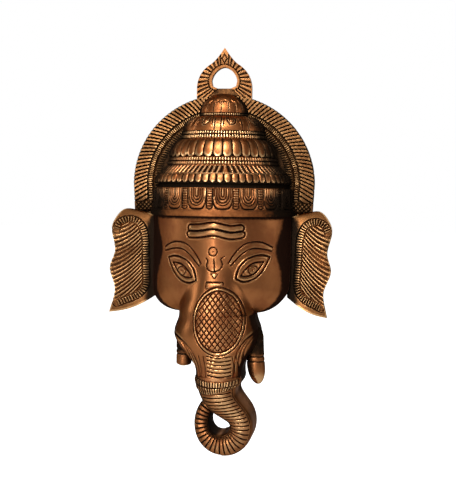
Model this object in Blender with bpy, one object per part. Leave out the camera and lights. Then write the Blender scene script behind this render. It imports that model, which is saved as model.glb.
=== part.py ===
"""Wall mask of an elephant head with a tall stepped crown, a ribbed halo and a curled trunk.

One hollow-backed casting. Metres, Z up. The front faces -Y, the flat back lies in the plane
y = 0, and the origin is the point of the hanging eye that bears on the hook.
Heights are given as drops below that point; a relief height is the distance in front of the back.
"""

import math

import bmesh
import bpy
import numpy as np

MM = 0.001

# Casting
WALL = 3.0 * MM
PLATE_THICKNESS = 4.0 * MM
BACK_STOCK = 2.0 * MM
SEAT_OVERLAP = 4.0 * MM

# Hanging loop
LOOP_RADIUS = 17.1 * MM
LOOP_POINT_RISE = 11.9 * MM
LOOP_SHOULDER_ANGLE = math.radians(60)
LOOP_PINCH = 4.6 * MM
LOOP_RIBS = 22
EYE_HALF_WIDTH = 8.0 * MM
EYE_ARCH = 8.5 * MM
EYE_SILL = 4.4 * MM
EYE_RIM = 2.0 * MM

# Halo plate
HALO_HALF_WIDTH = 56.8 * MM
HALO_RISE = 55.3 * MM
HALO_SPRING_DROP = 72.0 * MM
HALO_FOOT_RUN = 18.0 * MM
HALO_FOOT_DROP = HALO_SPRING_DROP + HALO_FOOT_RUN
HALO_FOOT_INSET = 1.2 * MM
RIB_BAND = 9.1 * MM
BEAD_STRIP = 2.9 * MM
TICK_STRIP = 12.0 * MM
RIBS_PER_SIDE = 30
RIB_RISE = 0.9 * MM
RIB_LEAN = 4.6 * MM

# Crown, band by band from the top
CROWN_TOP_DROP = 16.2 * MM
CROWN_DEPTH_SHARE = 0.8
CAP_HEIGHT = 12.4 * MM
CAP_RADIUS = 15.4 * MM
CAP_BEADS_HEIGHT = 2.0 * MM
DOME_HEIGHT = 9.2 * MM
DOME_RADIUS = 26.0 * MM
UPPER_BEADS_HEIGHT = 5.0 * MM
GADROON_HEIGHT = 11.4 * MM
GADROON_RADIUS = 34.2 * MM
LOWER_BEADS_HEIGHT = 4.6 * MM
FLUTE_HEIGHT = 5.0 * MM
FLUTE_RADIUS = 40.2 * MM
KNOP_HEIGHT = 6.0 * MM
KNOP_RADIUS = 43.0 * MM
NECK_HEIGHT = 2.8 * MM
NECK_CUT = 2.4 * MM
PETAL_HEIGHT = 13.6 * MM
BRIM_RADIUS = 44.2 * MM
BRIM_HEIGHT = 3.3 * MM
BRIM_PROUD = 0.9 * MM
BEAD_RISE = 0.7 * MM
TUCK_HEIGHT = 0.2 * MM
DOME_LOBES = 10
GADROONS = 18
GADROON_CUT = 1.5 * MM
KNOP_CUT = 0.9 * MM
FLUTE_CUT = 0.7 * MM
PETAL_CUT = 0.9 * MM
PETAL_COLUMNS = 6

# Head
FACE_HALF_WIDTH = 43.0 * MM
FACE_TOP_DROP = 86.0 * MM
FACE_HEIGHT = 65.4 * MM
JAW_DROP = FACE_TOP_DROP + FACE_HEIGHT
JAW_ROUND = 18.0 * MM
FACE_SKIRT = 6.0 * MM
BROW_DEPTH = 36.5 * MM
CHEEK_DEPTH = 35.0 * MM

# Trunk
ROOT_HALF_WIDTH = 26.4 * MM
ROOT_DROP = 163.0 * MM
ROOT_START_DROP = 116.0 * MM
ROOT_RUN_OUT = 12.0 * MM
ROOT_NARROWING = 3.0 * MM
ROOT_OFFSET = -1.0 * MM
ROOT_DEPTH = 41.5 * MM
ROOT_SKIRT = 13.0 * MM
ROOT_SKIRT_GAIN = 10.0 * MM
BLEND = 6.0 * MM
WRIST_DROP = 188.0 * MM
WRIST_EASE = 2.0 * MM
WRIST_HALF_WIDTH = 13.9 * MM
WRIST_DEPTH = 36.5 * MM
WRIST_CENTRE_X = 1.7 * MM
BRACELET_RISE = 0.9 * MM
BRACELET_HEIGHT = 7.4 * MM
CURL_HALF_WIDTH = 7.2 * MM
TIP_HALF_WIDTH = 5.1 * MM
CURL_DEPTH = 26.0 * MM
TIP_DEPTH = 18.0 * MM
CURL_RADIUS = 12.3 * MM
CURL_DOWN_TURN = math.radians(-128)
CURL_UP_TURN = math.radians(-70)
TRUNK_DROP_RUN = 5.4 * MM
TRUNK_SWING_RUN = 14.0 * MM
TRUNK_SLANT_RUN = 7.1 * MM
TRUNK_FLAT_RUN = 3.5 * MM
TRUNK_TIP_RUN = 17.0 * MM
TRUNK_TURNS = (
    (TRUNK_DROP_RUN, 0.0),
    (TRUNK_SWING_RUN, math.radians(46)),
    (TRUNK_SLANT_RUN, 0.0),
    (-CURL_RADIUS * CURL_DOWN_TURN, CURL_DOWN_TURN),
    (TRUNK_FLAT_RUN, math.radians(-13)),
    (-CURL_RADIUS * CURL_UP_TURN, CURL_UP_TURN),
    (TRUNK_TIP_RUN, math.radians(-62)),
)
TRUNK_EASE = 4.0 * MM
TRUNK_STEP = 0.1 * MM
TIP_SHRINK = 0.3 * MM
TRUNK_SKIRT_SHARE = 0.66
RING_PITCH = 2.5 * MM
RING_RISE = 0.7 * MM

# Tusks
TUSK_RADIUS = 5.6 * MM
TUSK_X = 22.2 * MM
TUSK_RELIEF = 13.0 * MM
TUSK_TIP_DROP = 194.6 * MM
TUSK_LEAN = 2.6 * MM
TUSK_NOSE = 11.7 * MM
TUSK_RING_GAP = 4.6 * MM
STUB_RADIUS = 4.7 * MM
STUB_X = -20.8 * MM
STUB_RELIEF = 18.0 * MM
STUB_END_DROP = 184.0 * MM
STUB_NOSE = 2.1 * MM
STUB_RING_GAP = 6.6 * MM
TUSK_RING_RISE = 0.5 * MM
TUSK_RING_HALF = 1.2 * MM
TUSK_SHOULDER = 6.0 * MM

# Ears
EAR_ROOT_INSET = 2.0 * MM
EAR_REACH = 28.3 * MM
EAR_TOP_RISE = 3.4 * MM
EAR_HEIGHT = 67.0 * MM
EAR_FOLDS = 14
EAR_FOLD_RISE = 0.9 * MM
EAR_RIM_RISE = 0.7 * MM
EAR_BOW = 4.5 * MM
EAR_FOLD_ARCH = 2.0 * MM
EAR_HEM_DROP = 2.8 * MM
EAR_SWING = 2.4 * MM
EAR_FOLD_SLANT = 0.22

# Face ornament
LINE_RISE = 0.9 * MM
LINE_SEAT = 1.6 * MM
TILAK_LINE = 2.6 * MM
EYE_LINE = 1.3 * MM
BROW_LINE = 1.9 * MM
OVAL_X = 3.4 * MM
OVAL_DROP = 153.9 * MM
OVAL_HALF_WIDTH = 15.2 * MM
OVAL_HALF_HEIGHT = 20.4 * MM
OVAL_LINE = 2.2 * MM


def body(name, points, faces):
    """One closed mesh object with its faces turned outwards."""
    mesh = bpy.data.meshes.new(name)
    mesh.from_pydata([tuple(p) for p in points], [], faces)
    shape = bmesh.new()
    shape.from_mesh(mesh)
    bmesh.ops.recalc_face_normals(shape, faces=shape.faces)
    shape.to_mesh(mesh)
    shape.free()
    thing = bpy.data.objects.new(name, mesh)
    bpy.context.scene.collection.objects.link(thing)
    return thing


def loft(name, rings, closed=False):
    """A body through rings of equally many points, capped at both ends or closed round on itself."""
    rings = np.asarray(rings)
    count, around = rings.shape[:2]
    faces = []
    for i in range(count if closed else count - 1):
        here = i * around
        there = (i + 1) % count * around
        for j in range(around):
            k = (j + 1) % around
            faces.append((here + j, here + k, there + k, there + j))
    if not closed:
        faces.append(tuple(range(around)))
        faces.append(tuple(range((count - 1) * around, count * around)))
    return body(name, rings.reshape(-1, 3), faces)


def smooth_through(knots, count):
    """Catmull-Rom curve through the knots, at count points spread evenly over the knots' index."""
    knots = np.asarray(knots, float)
    padded = np.vstack([2 * knots[0] - knots[1], knots, 2 * knots[-1] - knots[-2]])
    at = np.linspace(0, len(knots) - 1, count)
    i = np.minimum(at.astype(int), len(knots) - 2)
    t = (at - i)[:, None]
    a, b, c, d = padded[i], padded[i + 1], padded[i + 2], padded[i + 3]
    return 0.5 * (2 * b + (c - a) * t + (2 * a - 5 * b + 4 * c - d) * t**2 + (3 * b - a - 3 * c + d) * t**3)


def even(curve, count):
    """The same curve at count points an equal length apart, and that length in all."""
    steps = np.linalg.norm(np.diff(curve, axis=0), axis=1)
    length = np.concatenate([[0], np.cumsum(steps)])
    at = np.linspace(0, length[-1], count)
    return np.stack([np.interp(at, length, curve[:, k]) for k in range(curve.shape[1])], axis=1), length[-1]


def ease(low, high, x):
    """Runs smoothly from 0 at low to 1 at high."""
    t = np.clip((x - low) / (high - low), 0, 1)
    return t * t * (3 - 2 * t)


def crown_rows():
    """Height, half width and pattern of each level row: those of the cap and dome, then those below."""
    rows = []
    z = -CROWN_TOP_DROP

    def bulge(height, start, end, steps, pattern, tuck=0.0):
        nonlocal z
        for k in range(1, steps + 1):
            turn = math.pi / 2 * k / steps
            rows.append((z - height * (1 - math.cos(turn)), start + (end - start) * math.sin(turn), pattern))
        z -= height
        if tuck:
            rows.append((z - TUCK_HEIGHT, end - tuck, None))

    def beads(height, start, end):
        nonlocal z
        for share, rise in ((0.3, BEAD_RISE), (0.8, BEAD_RISE)):
            rows.append((z - height * share, start + (end - start) * share + rise, None))
        z -= height

    bulge(CAP_HEIGHT, 0.22 * CAP_RADIUS, CAP_RADIUS, 4, None, BEAD_RISE)
    beads(CAP_BEADS_HEIGHT, CAP_RADIUS, CAP_RADIUS + BEAD_RISE)
    bulge(DOME_HEIGHT, CAP_RADIUS, DOME_RADIUS, 3, "lobe", BEAD_RISE)
    split = len(rows)
    beads(UPPER_BEADS_HEIGHT, DOME_RADIUS, DOME_RADIUS + 2 * BEAD_RISE)
    bulge(GADROON_HEIGHT, DOME_RADIUS + 2 * BEAD_RISE, GADROON_RADIUS, 3, "gadroon", GADROON_CUT)
    beads(LOWER_BEADS_HEIGHT, GADROON_RADIUS - BEAD_RISE, GADROON_RADIUS + 2 * BEAD_RISE)
    rows.append((z, GADROON_RADIUS + 2 * BEAD_RISE, "flute"))
    rows.append((z - FLUTE_HEIGHT, FLUTE_RADIUS, "flute"))
    z -= FLUTE_HEIGHT
    bulge(KNOP_HEIGHT, FLUTE_RADIUS - FLUTE_CUT, KNOP_RADIUS, 2, "knop")
    rows.append((z - 0.4 * NECK_HEIGHT, KNOP_RADIUS - NECK_CUT, None))
    z -= NECK_HEIGHT
    rows.append((z, BRIM_RADIUS - NECK_CUT, None))
    rows.append((z - 0.1 * PETAL_HEIGHT, BRIM_RADIUS - PETAL_CUT, "petal"))
    rows.append((z - 0.86 * PETAL_HEIGHT, BRIM_RADIUS, "petal"))
    z -= PETAL_HEIGHT
    rows.append((z - 0.2 * BRIM_HEIGHT, BRIM_RADIUS + BRIM_PROUD, None))
    rows.append((z - BRIM_HEIGHT, BRIM_RADIUS, None))
    return rows[:split], rows[split:]


def crown_cut(pattern, column):
    """How far a column of the crown is sunk by the pattern of its row."""
    if pattern == "gadroon":
        return GADROON_CUT * (column % 3 == 0)
    if pattern in ("knop", "lobe"):
        return KNOP_CUT * (column % 2 == 0)
    if pattern == "flute":
        return FLUTE_CUT * (column % 2 == 1)
    if pattern == "petal":
        return PETAL_CUT * np.isin(column % PETAL_COLUMNS, (0, 2))
    return 0.0 * column


def crown(name, rows, columns):
    """Half dome of stepped bands: in each row x = r cos t, relief = plate + depth share * r sin t."""
    column = np.arange(columns + 1)
    turn = math.pi * column / columns
    rings = []
    for z, radius, pattern in rows:
        across = radius - crown_cut(pattern, column)
        x = across * np.cos(turn)
        y = -PLATE_THICKNESS - CROWN_DEPTH_SHARE * across * np.sin(turn)
        ring = np.stack([x, y, np.full_like(x, z)], axis=1)
        back = [(-radius, BACK_STOCK, z), (radius, BACK_STOCK, z)]
        rings.append(np.vstack([ring, back]))
    return loft(name, rings)


def crown_bodies():
    """The cap and dome with few columns, and the bands below with three columns to a gadroon."""
    upper, lower = crown_rows()
    seat = (upper[-1][0] + WALL, upper[-1][1] - WALL, None)
    return [crown("crown_dome", upper, DOME_LOBES * 2), crown("crown_bands", [seat] + lower, 3 * GADROONS)]


def crown_hollow():
    """The crown's inside: the same dome a wall smaller, open at the back and below."""
    upper, lower = crown_rows()
    drops = np.array([row[0] for row in upper + lower])
    radii = np.minimum.accumulate(np.array([row[1] for row in upper + lower])[::-1])[::-1]
    turn = math.pi * np.arange(11) / 10
    rings = []
    top = -CROWN_TOP_DROP - CAP_HEIGHT * 0.5
    low = drops[-1] - BRIM_PROUD
    for z in np.linspace(top, low, 8):
        radius = min(np.interp(-(z + WALL), -drops, radii) - GADROON_CUT, FACE_HALF_WIDTH) - WALL
        x = radius * np.cos(turn)
        deep = min(PLATE_THICKNESS + CROWN_DEPTH_SHARE * radius, BROW_DEPTH - WALL)
        y = -deep * np.sin(turn)
        ring = np.stack([x, y, np.full_like(x, z)], axis=1)
        back = [(-radius, 2 * BACK_STOCK, z), (radius, 2 * BACK_STOCK, z)]
        rings.append(np.vstack([ring, back]))
    return loft("crown_hollow", rings)


def root_share(z):
    """How far the trunk has risen out of the face: 0 between the brows, 1 where it leaves the jaw."""
    return ease(ROOT_START_DROP, ROOT_DROP - ROOT_RUN_OUT, -z)


def face_half_width(z):
    """Half width of the face and trunk root at a height, down to the bracelet."""
    drop = -z
    jaw = np.sqrt(np.clip(1 - ((drop - (JAW_DROP - JAW_ROUND)) / JAW_ROUND) ** 2, 0, 1))
    face = np.where(drop < JAW_DROP - JAW_ROUND, FACE_HALF_WIDTH, FACE_HALF_WIDTH * (0.45 + 0.55 * jaw))
    face = np.where(drop > JAW_DROP, 0, face)
    root = ROOT_HALF_WIDTH - ROOT_NARROWING * (1 - ease(JAW_DROP, ROOT_DROP, drop))
    root = root + (WRIST_HALF_WIDTH - ROOT_HALF_WIDTH) * ease(ROOT_DROP, WRIST_DROP - WRIST_EASE, drop)
    return np.maximum(face, root)


def root_centre(z):
    """Sideways place of the trunk's middle above the bracelet."""
    aside = ROOT_OFFSET * ease(ROOT_START_DROP, JAW_DROP, -z)
    return aside + (WRIST_CENTRE_X - ROOT_OFFSET) * ease(ROOT_DROP, WRIST_DROP, -z)


def face_height(x, z):
    """Relief of the face and the trunk root: the larger of a low dome across the face and the trunk."""
    drop = -z
    wide = face_half_width(z)
    side = np.clip(np.abs(x) / FACE_HALF_WIDTH, 0, 1)
    full = BROW_DEPTH + (CHEEK_DEPTH - BROW_DEPTH) * ease(FACE_TOP_DROP, JAW_DROP, drop)
    past_bend = np.clip(drop - (JAW_DROP - JAW_ROUND), 0, None) / JAW_ROUND
    round_off = np.sqrt(np.clip(1 - past_bend**2, 0.02, 1))
    dome = FACE_SKIRT + (full - FACE_SKIRT) * (1 - side**1.6) ** 0.75 * round_off
    share = root_share(z)
    neck = (ROOT_HALF_WIDTH - ROOT_NARROWING) * (0.55 + 0.45 * share)
    half = np.where(drop < JAW_DROP, neck, wide)
    across = np.clip(np.abs(x - root_centre(z)) / half, 0, 1)
    deep = ROOT_DEPTH + (WRIST_DEPTH - ROOT_DEPTH) * ease(ROOT_DROP + SEAT_OVERLAP, WRIST_DROP, drop)
    skirt = ROOT_SKIRT + ROOT_SKIRT_GAIN * ease(ROOT_DROP, WRIST_DROP, drop)
    trunk = np.where(across < 1, skirt + (deep - skirt) * (1 - across**2.4) ** 0.5, 0)
    rise = ease(ROOT_START_DROP - ROOT_RUN_OUT, ROOT_START_DROP + 2 * SEAT_OVERLAP, drop)
    trunk = trunk * (0.8 + 0.2 * share) * rise
    gap = np.clip(BLEND - np.abs(dome - trunk), 0, None)
    return np.where(drop > JAW_DROP, trunk, np.maximum(dome, trunk) + gap**2 / (4 * BLEND))


def face_rows(count_face, count_jaw, count_root):
    """Heights of the sections: evenly down the face, closer round the jaw, evenly down the trunk root."""
    top = -FACE_TOP_DROP
    bend = -(JAW_DROP - JAW_ROUND)
    jaw = bend - JAW_ROUND * np.sin(np.linspace(0, math.pi / 2, count_jaw + 1))
    root = np.linspace(-JAW_DROP - 0.2 * WALL, -WRIST_DROP - SEAT_OVERLAP, count_root)
    return np.concatenate([np.linspace(top, bend, count_face)[:-1], jaw, root])


def head():
    """Level sections of the face and trunk root, each a straight side wall with the relief over it."""
    turn = math.pi * np.arange(19) / 18
    rings = []
    for z in face_rows(7, 4, 7):
        wide = float(face_half_width(z))
        middle = float(root_centre(z))
        x = middle + wide * np.cos(turn)
        y = -face_height(np.clip(x, middle - 0.995 * wide, middle + 0.995 * wide), z)
        ring = np.stack([x, y, np.full_like(x, z)], axis=1)
        back = [(middle - wide, BACK_STOCK, z), (middle + wide, BACK_STOCK, z)]
        rings.append(np.vstack([ring, back]))
    return loft("head", rings)


def head_hollow():
    """The head's inside: the same relief a wall lower and narrower, open at the back and into the crown."""
    turn = math.pi * np.arange(11) / 10
    rings = []
    jaw_floor = -(JAW_DROP - JAW_ROUND) - 0.3 * JAW_ROUND
    face = np.linspace(-FACE_TOP_DROP + SEAT_OVERLAP, jaw_floor, 6)
    root = np.linspace(jaw_floor - WRIST_EASE, -WRIST_DROP - WRIST_EASE, 6)
    for z in np.concatenate([face, root]):
        level = max(z, -WRIST_DROP)
        below_jaw = min(level, -JAW_DROP - WALL / 3)
        outside = FACE_HALF_WIDTH if z > jaw_floor - WALL / 3 else float(face_half_width(below_jaw))
        wide = outside - WALL
        middle = float(root_centre(level))
        x = middle + wide * np.cos(turn)
        near = x + np.sign(x - middle) * WALL * 0.6
        y = -(face_height(np.clip(near, middle - 0.995 * outside, middle + 0.995 * outside), level) - WALL)
        y = np.minimum(y, -WALL / 3)
        ring = np.stack([x, y, np.full_like(x, z)], axis=1)
        back = [(middle - wide, 2 * BACK_STOCK, z), (middle + wide, 2 * BACK_STOCK, z)]
        rings.append(np.vstack([ring, back]))
    return loft("head_hollow", rings)


def trunk_path():
    """Middle line of the trunk: it runs down, swings aside, then curls round and up behind itself."""
    turns = [np.full(round(run / TRUNK_STEP), turn * TRUNK_STEP / run) for run, turn in TRUNK_TURNS]
    rates = np.concatenate(turns)
    soft = round(TRUNK_EASE / TRUNK_STEP)
    rates = np.convolve(np.pad(rates, soft, mode="edge"), np.full(soft, 1 / soft), mode="same")[soft:-soft]
    heading = -math.pi / 2 + np.cumsum(rates)
    x = WRIST_CENTRE_X + np.cumsum(np.cos(heading)) * TRUNK_STEP
    z = -WRIST_DROP + np.cumsum(np.sin(heading)) * TRUNK_STEP
    return even(np.stack([x, z], axis=1), 800)


def trunk_sizes(share):
    """Half width and depth along the trunk, from the bracelet at 0 to the tip at 1."""
    share = np.asarray(share, float)
    slim = ease(-0.05, 0.34, share)
    wide = WRIST_HALF_WIDTH + (CURL_HALF_WIDTH - WRIST_HALF_WIDTH) * slim
    wide = wide + (TIP_HALF_WIDTH - CURL_HALF_WIDTH) * ease(0.5, 0.85, share)
    deep = WRIST_DEPTH + (CURL_DEPTH - WRIST_DEPTH) * ease(0.05, 0.55, share)
    deep = deep + (TIP_DEPTH - CURL_DEPTH) * ease(0.55, 1, share)
    return wide, deep


def trunk_section(name, start, end, columns, shrink, ringed=True):
    """A stretch of the trunk: rings across its middle line, raised and sunk in turn for the folds."""
    path, length = trunk_path()
    pitch = RING_PITCH if ringed else 4 * RING_PITCH
    rows = 2 * max(2, round((end - start) * length / pitch))
    share = np.linspace(start, end, rows + 1)
    at = share * (len(path) - 1)
    place = np.stack([np.interp(at, np.arange(len(path)), path[:, k]) for k in range(2)], axis=1)
    ahead = np.gradient(path, axis=0)
    run = np.stack([np.interp(at, np.arange(len(path)), ahead[:, k]) for k in range(2)], axis=1)
    run = run / np.linalg.norm(run, axis=1)[:, None]
    aside = np.stack([-run[:, 1], run[:, 0]], axis=1)
    wide, deep = trunk_sizes(share)
    fold = np.where(np.arange(rows + 1) % 2 == 1, RING_RISE, 0) * ringed
    collar = BRACELET_RISE * (share * length < BRACELET_HEIGHT) * ringed
    fold = np.where(share * length < BRACELET_HEIGHT, 0, fold)
    turn = math.pi * np.arange(columns + 1) / columns
    across = np.sign(np.cos(turn)) * np.abs(np.cos(turn)) ** 0.7
    front = np.abs(np.sin(turn)) ** 0.75
    rings = []
    for k in range(rows + 1):
        half = wide[k] + collar[k] - shrink
        skirt = TRUNK_SKIRT_SHARE * deep[k]
        x = place[k, 0] + aside[k, 0] * half * across
        z = place[k, 1] + aside[k, 1] * half * across
        y = -(skirt + (deep[k] - skirt + fold[k] + collar[k]) * front - shrink)
        ring = np.stack([x, y, z], axis=1)
        stock = BACK_STOCK if ringed else 2 * BACK_STOCK
        back = [(x[-1], stock, z[-1]), (x[0], stock, z[0])]
        rings.append(np.vstack([ring, back]))
    return loft(name, rings)


def halo_outline():
    """Outer edge of the halo: a straight foot, half an ellipse, and the other foot."""
    arch = np.linspace(0, math.pi, 181)
    x = HALO_HALF_WIDTH * np.cos(arch)
    z = -HALO_SPRING_DROP + HALO_RISE * np.sin(arch)
    foot = HALO_HALF_WIDTH - HALO_FOOT_INSET
    x = np.concatenate([[foot], x, [-foot]])
    z = np.concatenate([[-HALO_FOOT_DROP], z, [-HALO_FOOT_DROP]])
    return even(np.stack([x, z], axis=1), 1201)


def halo():
    """The plate behind the crown: leaning ribs on its outer band, a raised bead strip, a plain strip."""
    outline, length = halo_outline()
    index = np.arange(len(outline))
    half = length / 2
    foot = HALO_FOOT_RUN - SEAT_OVERLAP
    ribs = np.arange(2 * RIBS_PER_SIDE + 1) / (2 * RIBS_PER_SIDE)
    side = foot + ribs * (half - LOOP_RADIUS - foot)
    stations = np.concatenate([[0], side, [half], length - side[::-1], [length]])
    crest = np.concatenate([[0], np.arange(len(side)) % 2, [0], np.arange(len(side))[::-1] % 2, [0]])

    def edge(arc):
        at = np.clip(arc, 0, length) / length * (len(outline) - 1)
        return np.stack([np.interp(at, index, outline[:, k]) for k in range(2)], axis=1)

    def inward(arc):
        run = edge(arc + 0.5 * RIB_RISE) - edge(arc - 0.5 * RIB_RISE)
        run = run / np.linalg.norm(run, axis=1)[:, None]
        return np.stack([-run[:, 1], run[:, 0]], axis=1)

    lean = RIB_LEAN * np.sign(stations - half) * ease(0, TICK_STRIP, np.abs(stations - half))
    lean = lean * ease(0, TICK_STRIP, np.minimum(stations, length - stations))
    inner = np.clip(stations + lean, 0, length)
    relief = PLATE_THICKNESS + RIB_RISE * crest
    layout = (
        (stations, 0.0, np.full_like(relief, -BACK_STOCK)),
        (stations, 0.0, relief),
        (inner, RIB_BAND, relief),
        (inner, RIB_BAND + 0.5 * BEAD_STRIP, np.full_like(relief, PLATE_THICKNESS + RIB_RISE)),
        (inner, RIB_BAND + BEAD_STRIP + TICK_STRIP, np.full_like(relief, PLATE_THICKNESS)),
        (inner, RIB_BAND + BEAD_STRIP + TICK_STRIP, np.full_like(relief, -BACK_STOCK)),
    )
    columns = []
    for arc, depth, height in layout:
        place = edge(arc) + inward(arc) * depth
        columns.append(np.stack([place[:, 0], -height, place[:, 1]], axis=1))
    return loft("halo", np.stack(columns, axis=1))


def loop_outline(count):
    """Outer edge of the loop from its right foot over the point to its left foot."""
    arc = np.linspace(0, LOOP_SHOULDER_ANGLE, 40)
    base = -EYE_ARCH - EYE_SILL
    round_part = np.stack([LOOP_RADIUS * np.cos(arc), base + LOOP_RADIUS * np.sin(arc)], axis=1)
    start = round_part[-1]
    tip = np.array([0.0, LOOP_POINT_RISE])
    pinch = np.array([LOOP_PINCH, start[1] + 0.28 * (tip[1] - start[1])])
    t = np.linspace(0, 1, 30)[1:, None]
    flank = (1 - t) ** 2 * start + 2 * t * (1 - t) * pinch + t**2 * tip
    foot = np.array([[LOOP_RADIUS, -HALO_SPRING_DROP + HALO_RISE - 2 * SEAT_OVERLAP]])
    half, length = even(np.vstack([foot, round_part, flank]), count)
    return np.vstack([half, (half * [-1, 1])[-2::-1]])


def eye_outline(count):
    """Edge of the hanging eye from the right end of its sill over the top to the left end."""
    turn = np.linspace(0, math.pi / 2, 60)
    power = 2 / 1.7
    arch = np.stack([EYE_HALF_WIDTH * np.cos(turn) ** power, EYE_ARCH * (np.sin(turn) ** power - 1)], axis=1)
    floor = -EYE_ARCH - EYE_SILL
    sill = np.array([[EYE_HALF_WIDTH * 0.55, floor], [EYE_HALF_WIDTH * 0.92, floor + 0.3 * EYE_SILL]])
    half, length = even(np.vstack([sill, arch]), count)
    return np.vstack([half, (half * [-1, 1])[-2::-1]])


def loop():
    """The hanging loop: ribs that spread from a plain rim round the eye to the pointed outer edge."""
    count = LOOP_RIBS + 1
    outer = loop_outline(count)
    inner = eye_outline(count)
    away = outer - inner
    rim = inner + EYE_RIM * away / np.linalg.norm(away, axis=1)[:, None]
    crest = RIB_RISE * (np.arange(len(outer)) % 2)
    level = np.full(len(outer), PLATE_THICKNESS)
    columns = [
        np.stack([outer[:, 0], np.full(len(outer), BACK_STOCK), outer[:, 1]], axis=1),
        np.stack([outer[:, 0], -level - crest, outer[:, 1]], axis=1),
        np.stack([rim[:, 0], -level - crest, rim[:, 1]], axis=1),
        np.stack([inner[:, 0], -level - RIB_RISE, inner[:, 1]], axis=1),
        np.stack([inner[:, 0], np.full(len(outer), BACK_STOCK), inner[:, 1]], axis=1),
    ]
    return loft("loop", np.stack(columns, axis=1))


def loop_sill():
    """The bridge below the eye that ties the loop's two feet to the halo."""
    low = -HALO_SPRING_DROP + HALO_RISE - RIB_BAND
    top = -EYE_ARCH - EYE_SILL
    wide = LOOP_RADIUS - EYE_RIM
    corners = [(-wide, low), (wide, low), (wide, top - EYE_RIM), (0.55 * EYE_HALF_WIDTH, top)]
    corners.append((-0.55 * EYE_HALF_WIDTH, top))
    corners.append((-wide, top - EYE_RIM))
    rings = [[(x, y, z) for x, z in corners] for y in (BACK_STOCK * 1.1, -0.95 * PLATE_THICKNESS)]
    return loft("loop_sill", rings)


def ear_edges(share):
    """Root edge and free edge of the right ear at each share of the way down.

    The free edge is given in shares of the ear's reach and height: a round upper lobe, two lower ones.
    """
    free = [(0.36, 0.04), (0.69, 0.022), (0.90, 0.105), (0.985, 0.22)]
    free += [(0.90, 0.41), (1.0, 0.58), (0.865, 0.78), (0.97, 0.995)]
    free_share = (0.0, 0.08, 0.17, 0.26, 0.4, 0.57, 0.8, 1.0)
    root_share_down = np.array([0.085, 0.24, 0.43, 0.64, 0.82])
    root_place = (0.0, 0.3, 0.55, 0.8, 1.0)
    base = FACE_HALF_WIDTH - EAR_ROOT_INSET
    top = -HALO_FOOT_DROP + EAR_TOP_RISE
    curve = smooth_through(np.array(free) * [EAR_REACH, -EAR_HEIGHT] + [base, top], 400)
    root = np.stack([np.full(5, base), top - EAR_HEIGHT * root_share_down], axis=1)
    knots = np.interp(np.linspace(0, len(free) - 1, 400), np.arange(len(free)), free_share)
    outer = np.stack([np.interp(share, knots, curve[:, k]) for k in range(2)], axis=1)
    inner = np.stack([np.interp(share, root_place, root[:, k]) for k in range(2)], axis=1)
    return inner, outer


def ear(name, side):
    """A thin leaf that bows forward: folds that sweep down to a raised free edge, and a plain back."""
    start = 0.12
    fold = np.arange(2 * EAR_FOLDS + 1)
    share = np.concatenate([[0, 0.05], start + (1 - start) * fold / (2 * EAR_FOLDS)])
    raised = np.concatenate([[0, 0], EAR_FOLD_RISE * (fold % 2)])

    def leaf(u):
        slid = share + EAR_FOLD_SLANT * max(0.0, (u - 0.3) / 0.7) * np.sin(math.pi * share)
        inner, outer = ear_edges(slid)
        sag = np.interp(slid, (0, start, 0.6, 1), (0, 0, EAR_FOLD_ARCH, -EAR_HEM_DROP))
        place = inner + (outer - inner) * u
        return side * place[:, 0] - EAR_SWING * slid * u, place[:, 1] + sag * math.sin(math.pi * u)

    columns = []
    across = ((0.0, 0, 0), (0.4, 0, 1), (0.86, 0, 1), (0.93, EAR_RIM_RISE, 0), (1.0, EAR_RIM_RISE, 0))
    for u, lift, waves in across:
        x, z = leaf(u)
        height = PLATE_THICKNESS + EAR_BOW * u * u + lift + raised * waves
        columns.append(np.stack([x, -height, z], axis=1))
    for u in (1.0, 0.4, 0.0):
        x, z = leaf(u)
        height = EAR_BOW * u * u - (BACK_STOCK * 0.7 if u == 0 else 0)
        columns.append(np.stack([x, np.full(len(share), -height), z], axis=1))
    return loft(name, np.stack(columns, axis=1))


def tusk(name, x, relief, end, radius, pointed):
    """A round tusk out of the trunk root: a ring, then a bullet point, or a blunt end where it broke."""
    top = -ROOT_DROP + SEAT_OVERLAP
    length = end + top
    nose = TUSK_NOSE if pointed else STUB_NOSE
    ring_at = length - nose - (TUSK_RING_GAP if pointed else STUB_RING_GAP)
    sizes = [(0, 0.5 * radius), (0.4 * TUSK_SHOULDER, 0.85 * radius), (TUSK_SHOULDER, radius)]
    sizes += [(ring_at - TUSK_RING_HALF, radius), (ring_at, radius + TUSK_RING_RISE)]
    sizes += [(ring_at + TUSK_RING_HALF, radius)]
    sizes += [(length - nose, 0.98 * radius)]
    for turn in ((30, 60, 82) if pointed else (45, 80)):
        angle = math.radians(turn)
        sizes.append((length - nose + nose * math.sin(angle), 0.98 * radius * math.cos(angle)))
    around = 2 * math.pi * np.arange(10) / 10 + 0.1
    rings = []
    for down, size in sizes:
        lean = TUSK_LEAN * (down / length) ** 2 * (1 if pointed else 0)
        wide = x + lean + size * np.cos(around)
        ring = np.stack([wide, -relief + size * np.sin(around), np.full(10, top - down)], axis=1)
        rings.append(ring)
    return loft(name, rings)


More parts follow.
